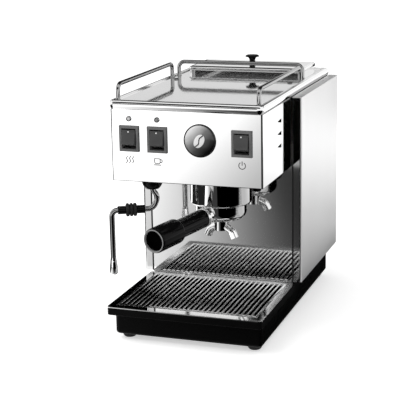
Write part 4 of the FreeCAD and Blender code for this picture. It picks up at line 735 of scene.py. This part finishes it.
stage = {"floor": 40.0, "floorColour": 0.92, "floorRough": 0.9, "floorGlow": 0.52, "fill": 0.64,
         "keyPlace": (-1.5, -1.0, 2.6), "keyAim": (0, 0, 0.15), "keySize": 2.2, "keyPower": 44.0}
cards = {                                     # corners, brightness, and the line along which a card fades in
    "frontCard": {"corners": [(-0.75, -0.96, 0.001), (-0.10, -0.96, 0.001), (-0.10, -2.20, 0.001),
                              (2.20, -2.20, 0.001), (2.20, 0.04, 0.001), (0.16, 0.04, 0.001),
                              (0.16, -0.17, 0.001), (-0.75, -0.17, 0.001)],
                  "glow": 0.04, "fadeFrom": (-0.34, 0, 0), "fadeTo": (0.116, -0.159, 0)},
    "bellCard": {"corners": onFloor(0.08, 2.20, -2.20, -0.17, 0.002),
                 "glow": 0.0, "fadeFrom": (0.08, 0, 0), "fadeTo": (0.11, 0, 0)},
    "cornerCard": {"corners": onFloor(-0.60, -0.10, -2.00, -0.96),
                   "glow": 0.42, "fadeFrom": (-0.443, 0.046, 0), "fadeTo": (0.031, -0.003, 0)},
    "leftFloorCard": {"corners": [(-2.20, -0.90, 0.001), (-0.60, -0.90, 0.001), (-0.30, -0.17, 0.001),
                                  (-0.30, 0.20, 0.001), (-2.20, 0.20, 0.001)],
                      "glow": 0.015, "fadeFrom": (-0.19, 0, 0), "fadeTo": (-0.288, 0.034, 0)},
    "farLeftCard": {"corners": onFloor(-2.80, -0.95, -2.40, -0.90),
                    "glow": 0.02, "fadeFrom": (-0.95, 0, 0), "fadeTo": (-1.10, 0, 0)},
    "leftCard": {"corners": [(-0.63, 0.37, 0.0), (-0.19, 0.545, 0.0), (-0.19, 0.545, 0.36),
                             (-0.63, 0.37, 0.36)],
                 "glow": 0.0, "fadeFrom": (0, 0, 0.36), "fadeTo": (0, 0, 0.31)},
    "rearLowCard": {"corners": upright(-2.40, 0.42, 1.60, 0.0, 0.54),
                    "glow": 0.0, "fadeFrom": (0, 0, 0.54), "fadeTo": (0, 0, 0.47)},
    "rearCard": {"corners": upright(-2.40, 0.05, 1.61, 0.40, 0.90),
                 "glow": 0.80, "fadeFrom": (0, 0, 0), "fadeTo": (0, 0, 0.1)},
    "rearHighCard": {"corners": upright(-2.40, 2.40, 1.60, 0.76, 3.60),
                     "glow": 0.03, "fadeFrom": (0, 0, 0.76), "fadeTo": (0, 0, 0.86)},
    "behindCard": {"corners": onFloor(-1.50, 0.25, 0.45, 1.60),
                   "glow": 0.0, "fadeFrom": (0, 0.45, 0), "fadeTo": (0, 0.60, 0)},
    "baseCard": {"corners": onFloor(0.106, 0.185, -0.17, 0.50, 0.002),
                 "glow": 0.0, "fadeFrom": (0.19, 0, 0), "fadeTo": (0.165, 0, 0)},
    "sideCard": {"corners": onFloor(0.14, 1.40, -0.10, 1.40),
                 "glow": 0.50, "fadeFrom": (0, 1.30, 0), "fadeTo": (0, 0.20, 0)},
    "lidCard": {"corners": upright(-2.60, -0.20, -2.40, 0.42, 0.80),
                "glow": 0.0, "fadeFrom": (0, 0, 0.80), "fadeTo": (0, 0, 0.72)},
    "rearFlangeCard": {"corners": upright(-1.25, -0.45, -2.40, 0.80, 0.868),
                       "glow": 0.05, "fadeFrom": (0, 0, 0.868), "fadeTo": (0, 0, 0.860)},
    "rightFlangeCard": {"corners": [(-0.652, -2.39, 0.985), (-0.50, -2.39, 0.985), (-0.40, -2.39, 0.862),
                                    (-0.553, -2.39, 0.862)],
                        "glow": 0.10, "fadeFrom": (0, 0, 0.985), "fadeTo": (0, 0, 0.975)},
    "upperCard": {"corners": [(-2.60, -2.40, 0.98), (2.60, -2.40, 0.98), (2.60, -2.00, 2.20),
                              (-2.60, -2.00, 2.20)],
                  "glow": 0.02, "fadeFrom": (0, 0, 0.98), "fadeTo": (0, 0, 1.08)},
    "ceilingCard": {"corners": onFloor(-4.0, 4.0, -0.7, 4.0, 3.6),
                    "glow": 0.03, "fadeFrom": (0, -0.7, 0), "fadeTo": (0, -0.3, 0)},
}


def seenDirectly(tree):                       # 1 on camera, mirror and glass rays
    rays = [addNode(tree, "ShaderNodeLightPath", output=name)
            for name in ("Is Camera Ray", "Is Glossy Ray", "Is Transmission Ray")]
    return addNode(tree, "ShaderNodeMath", {"operation": "ADD", "use_clamp": True}, {
        0: rays[0] + rays[1], 1: rays[2]})


def stageObject(name, bm, material):
    mesh = bpy.data.meshes.new(name)
    bm.to_mesh(mesh)
    bm.free()
    mesh.materials.append(material)
    thing = bpy.data.objects.new(name, mesh)
    bpy.context.collection.objects.link(thing)
    return thing


def makeFloor():
    bm = bmesh.new()
    bmesh.ops.create_grid(bm, x_segments=1, y_segments=1, size=stage["floor"] / 2)
    material, tree, shader = newFinish("paleFloor")
    shader.inputs["Base Color"].default_value = grey(stage["floorColour"])
    shader.inputs["Roughness"].default_value = stage["floorRough"]
    shader.inputs["Specular IOR Level"].default_value = 0.0
    shader.inputs["Emission Color"].default_value = grey(1.0)
    plug(tree, shader.inputs["Emission Strength"], seenDirectly(tree) * stage["floorGlow"])
    floor = stageObject("floor", bm, material)


def makeLight():
    world = bpy.context.scene.world or bpy.data.worlds.new("studio")
    bpy.context.scene.world = world
    world.use_nodes = True
    tree = world.node_tree
    back = tree.nodes["Background"]
    back.inputs["Color"].default_value = grey(1.0)
    plug(tree, back.inputs["Strength"], spread(seenDirectly(tree), stage["fill"], 1.0))
    softBox = bpy.data.lights.new("softBox", "AREA")
    softBox.size = stage["keySize"]
    softBox.energy = stage["keyPower"]
    holder = bpy.data.objects.new("softBox", softBox)
    holder.location = stage["keyPlace"]
    holder.rotation_euler = (Vector(stage["keyAim"]) - holder.location).to_track_quat("-Z", "Y").to_euler()
    holder.visible_glossy = False             # the steel mirrors the white room, not the lamp
    bpy.context.collection.objects.link(holder)


def cardMaterial(name, spec):                 # clear where the fade starts, its own brightness where it ends
    material = bpy.data.materials.new(name)
    material.use_nodes = True
    tree = material.node_tree
    tree.nodes.clear()
    start, end = Vector(spec["fadeFrom"]), Vector(spec["fadeTo"])
    run = end - start
    here = addNode(tree, "ShaderNodeTexCoord", output="Object")
    along = addNode(tree, "ShaderNodeVectorMath", {"operation": "DOT_PRODUCT"}, {
        0: here, 1: run / run.length_squared}, output="Value")
    share = addNode(tree, "ShaderNodeMapRange", {"interpolation_type": "SMOOTHSTEP"}, {
        "Value": along - start.dot(run) / run.length_squared})
    clear = addNode(tree, "ShaderNodeBsdfTransparent")
    shade = addNode(tree, "ShaderNodeEmission", None, {"Color": grey(spec["glow"]), "Strength": 1.0})
    mixed = addNode(tree, "ShaderNodeMixShader", None, {0: share, 1: clear, 2: shade})
    addNode(tree, "ShaderNodeOutputMaterial", None, {"Surface": mixed}, output=None)
    return material


def makeCards():                              # seen only by mirror rays, as flags in a studio are
    for name, spec in cards.items():
        bm = bmesh.new()
        bm.faces.new([bm.verts.new(corner) for corner in spec["corners"]])
        card = stageObject(name, bm, cardMaterial(name, spec))
        card.visible_camera = card.visible_diffuse = card.visible_shadow = False
        card.visible_transmission = card.visible_volume_scatter = False


view = {"place": (0.5355, -1.6091, 0.5911), "yaw": 19.051, "pitch": 14.362, "roll": -1.013, "lens": 106.46,
        "sensor": 36.0, "near": 0.05}


def makeCamera():
    yaw, pitch, roll = (math.radians(view[key]) for key in ("yaw", "pitch", "roll"))
    ahead = Vector((-math.sin(yaw) * math.cos(pitch), math.cos(yaw) * math.cos(pitch), -math.sin(pitch)))
    right = Vector((math.cos(yaw), math.sin(yaw), 0))
    down = ahead.cross(right)
    sideways = math.cos(roll) * right - math.sin(roll) * down
    upward = -(math.sin(roll) * right + math.cos(roll) * down)
    turn = Matrix((sideways, upward, -ahead)).transposed()
    camera = bpy.data.cameras.new("camera")
    camera.lens = view["lens"]
    camera.sensor_width = view["sensor"]
    camera.clip_start = view["near"]
    holder = bpy.data.objects.new("camera", camera)
    holder.matrix_world = Matrix.Translation(view["place"]) @ turn.to_4x4()
    bpy.context.collection.objects.link(holder)
    bpy.context.scene.camera = holder


makeFloor()
makeLight()
makeCards()
makeCamera()
bpy.context.scene.view_settings.view_transform = "Standard"
print("stage, light and camera set")
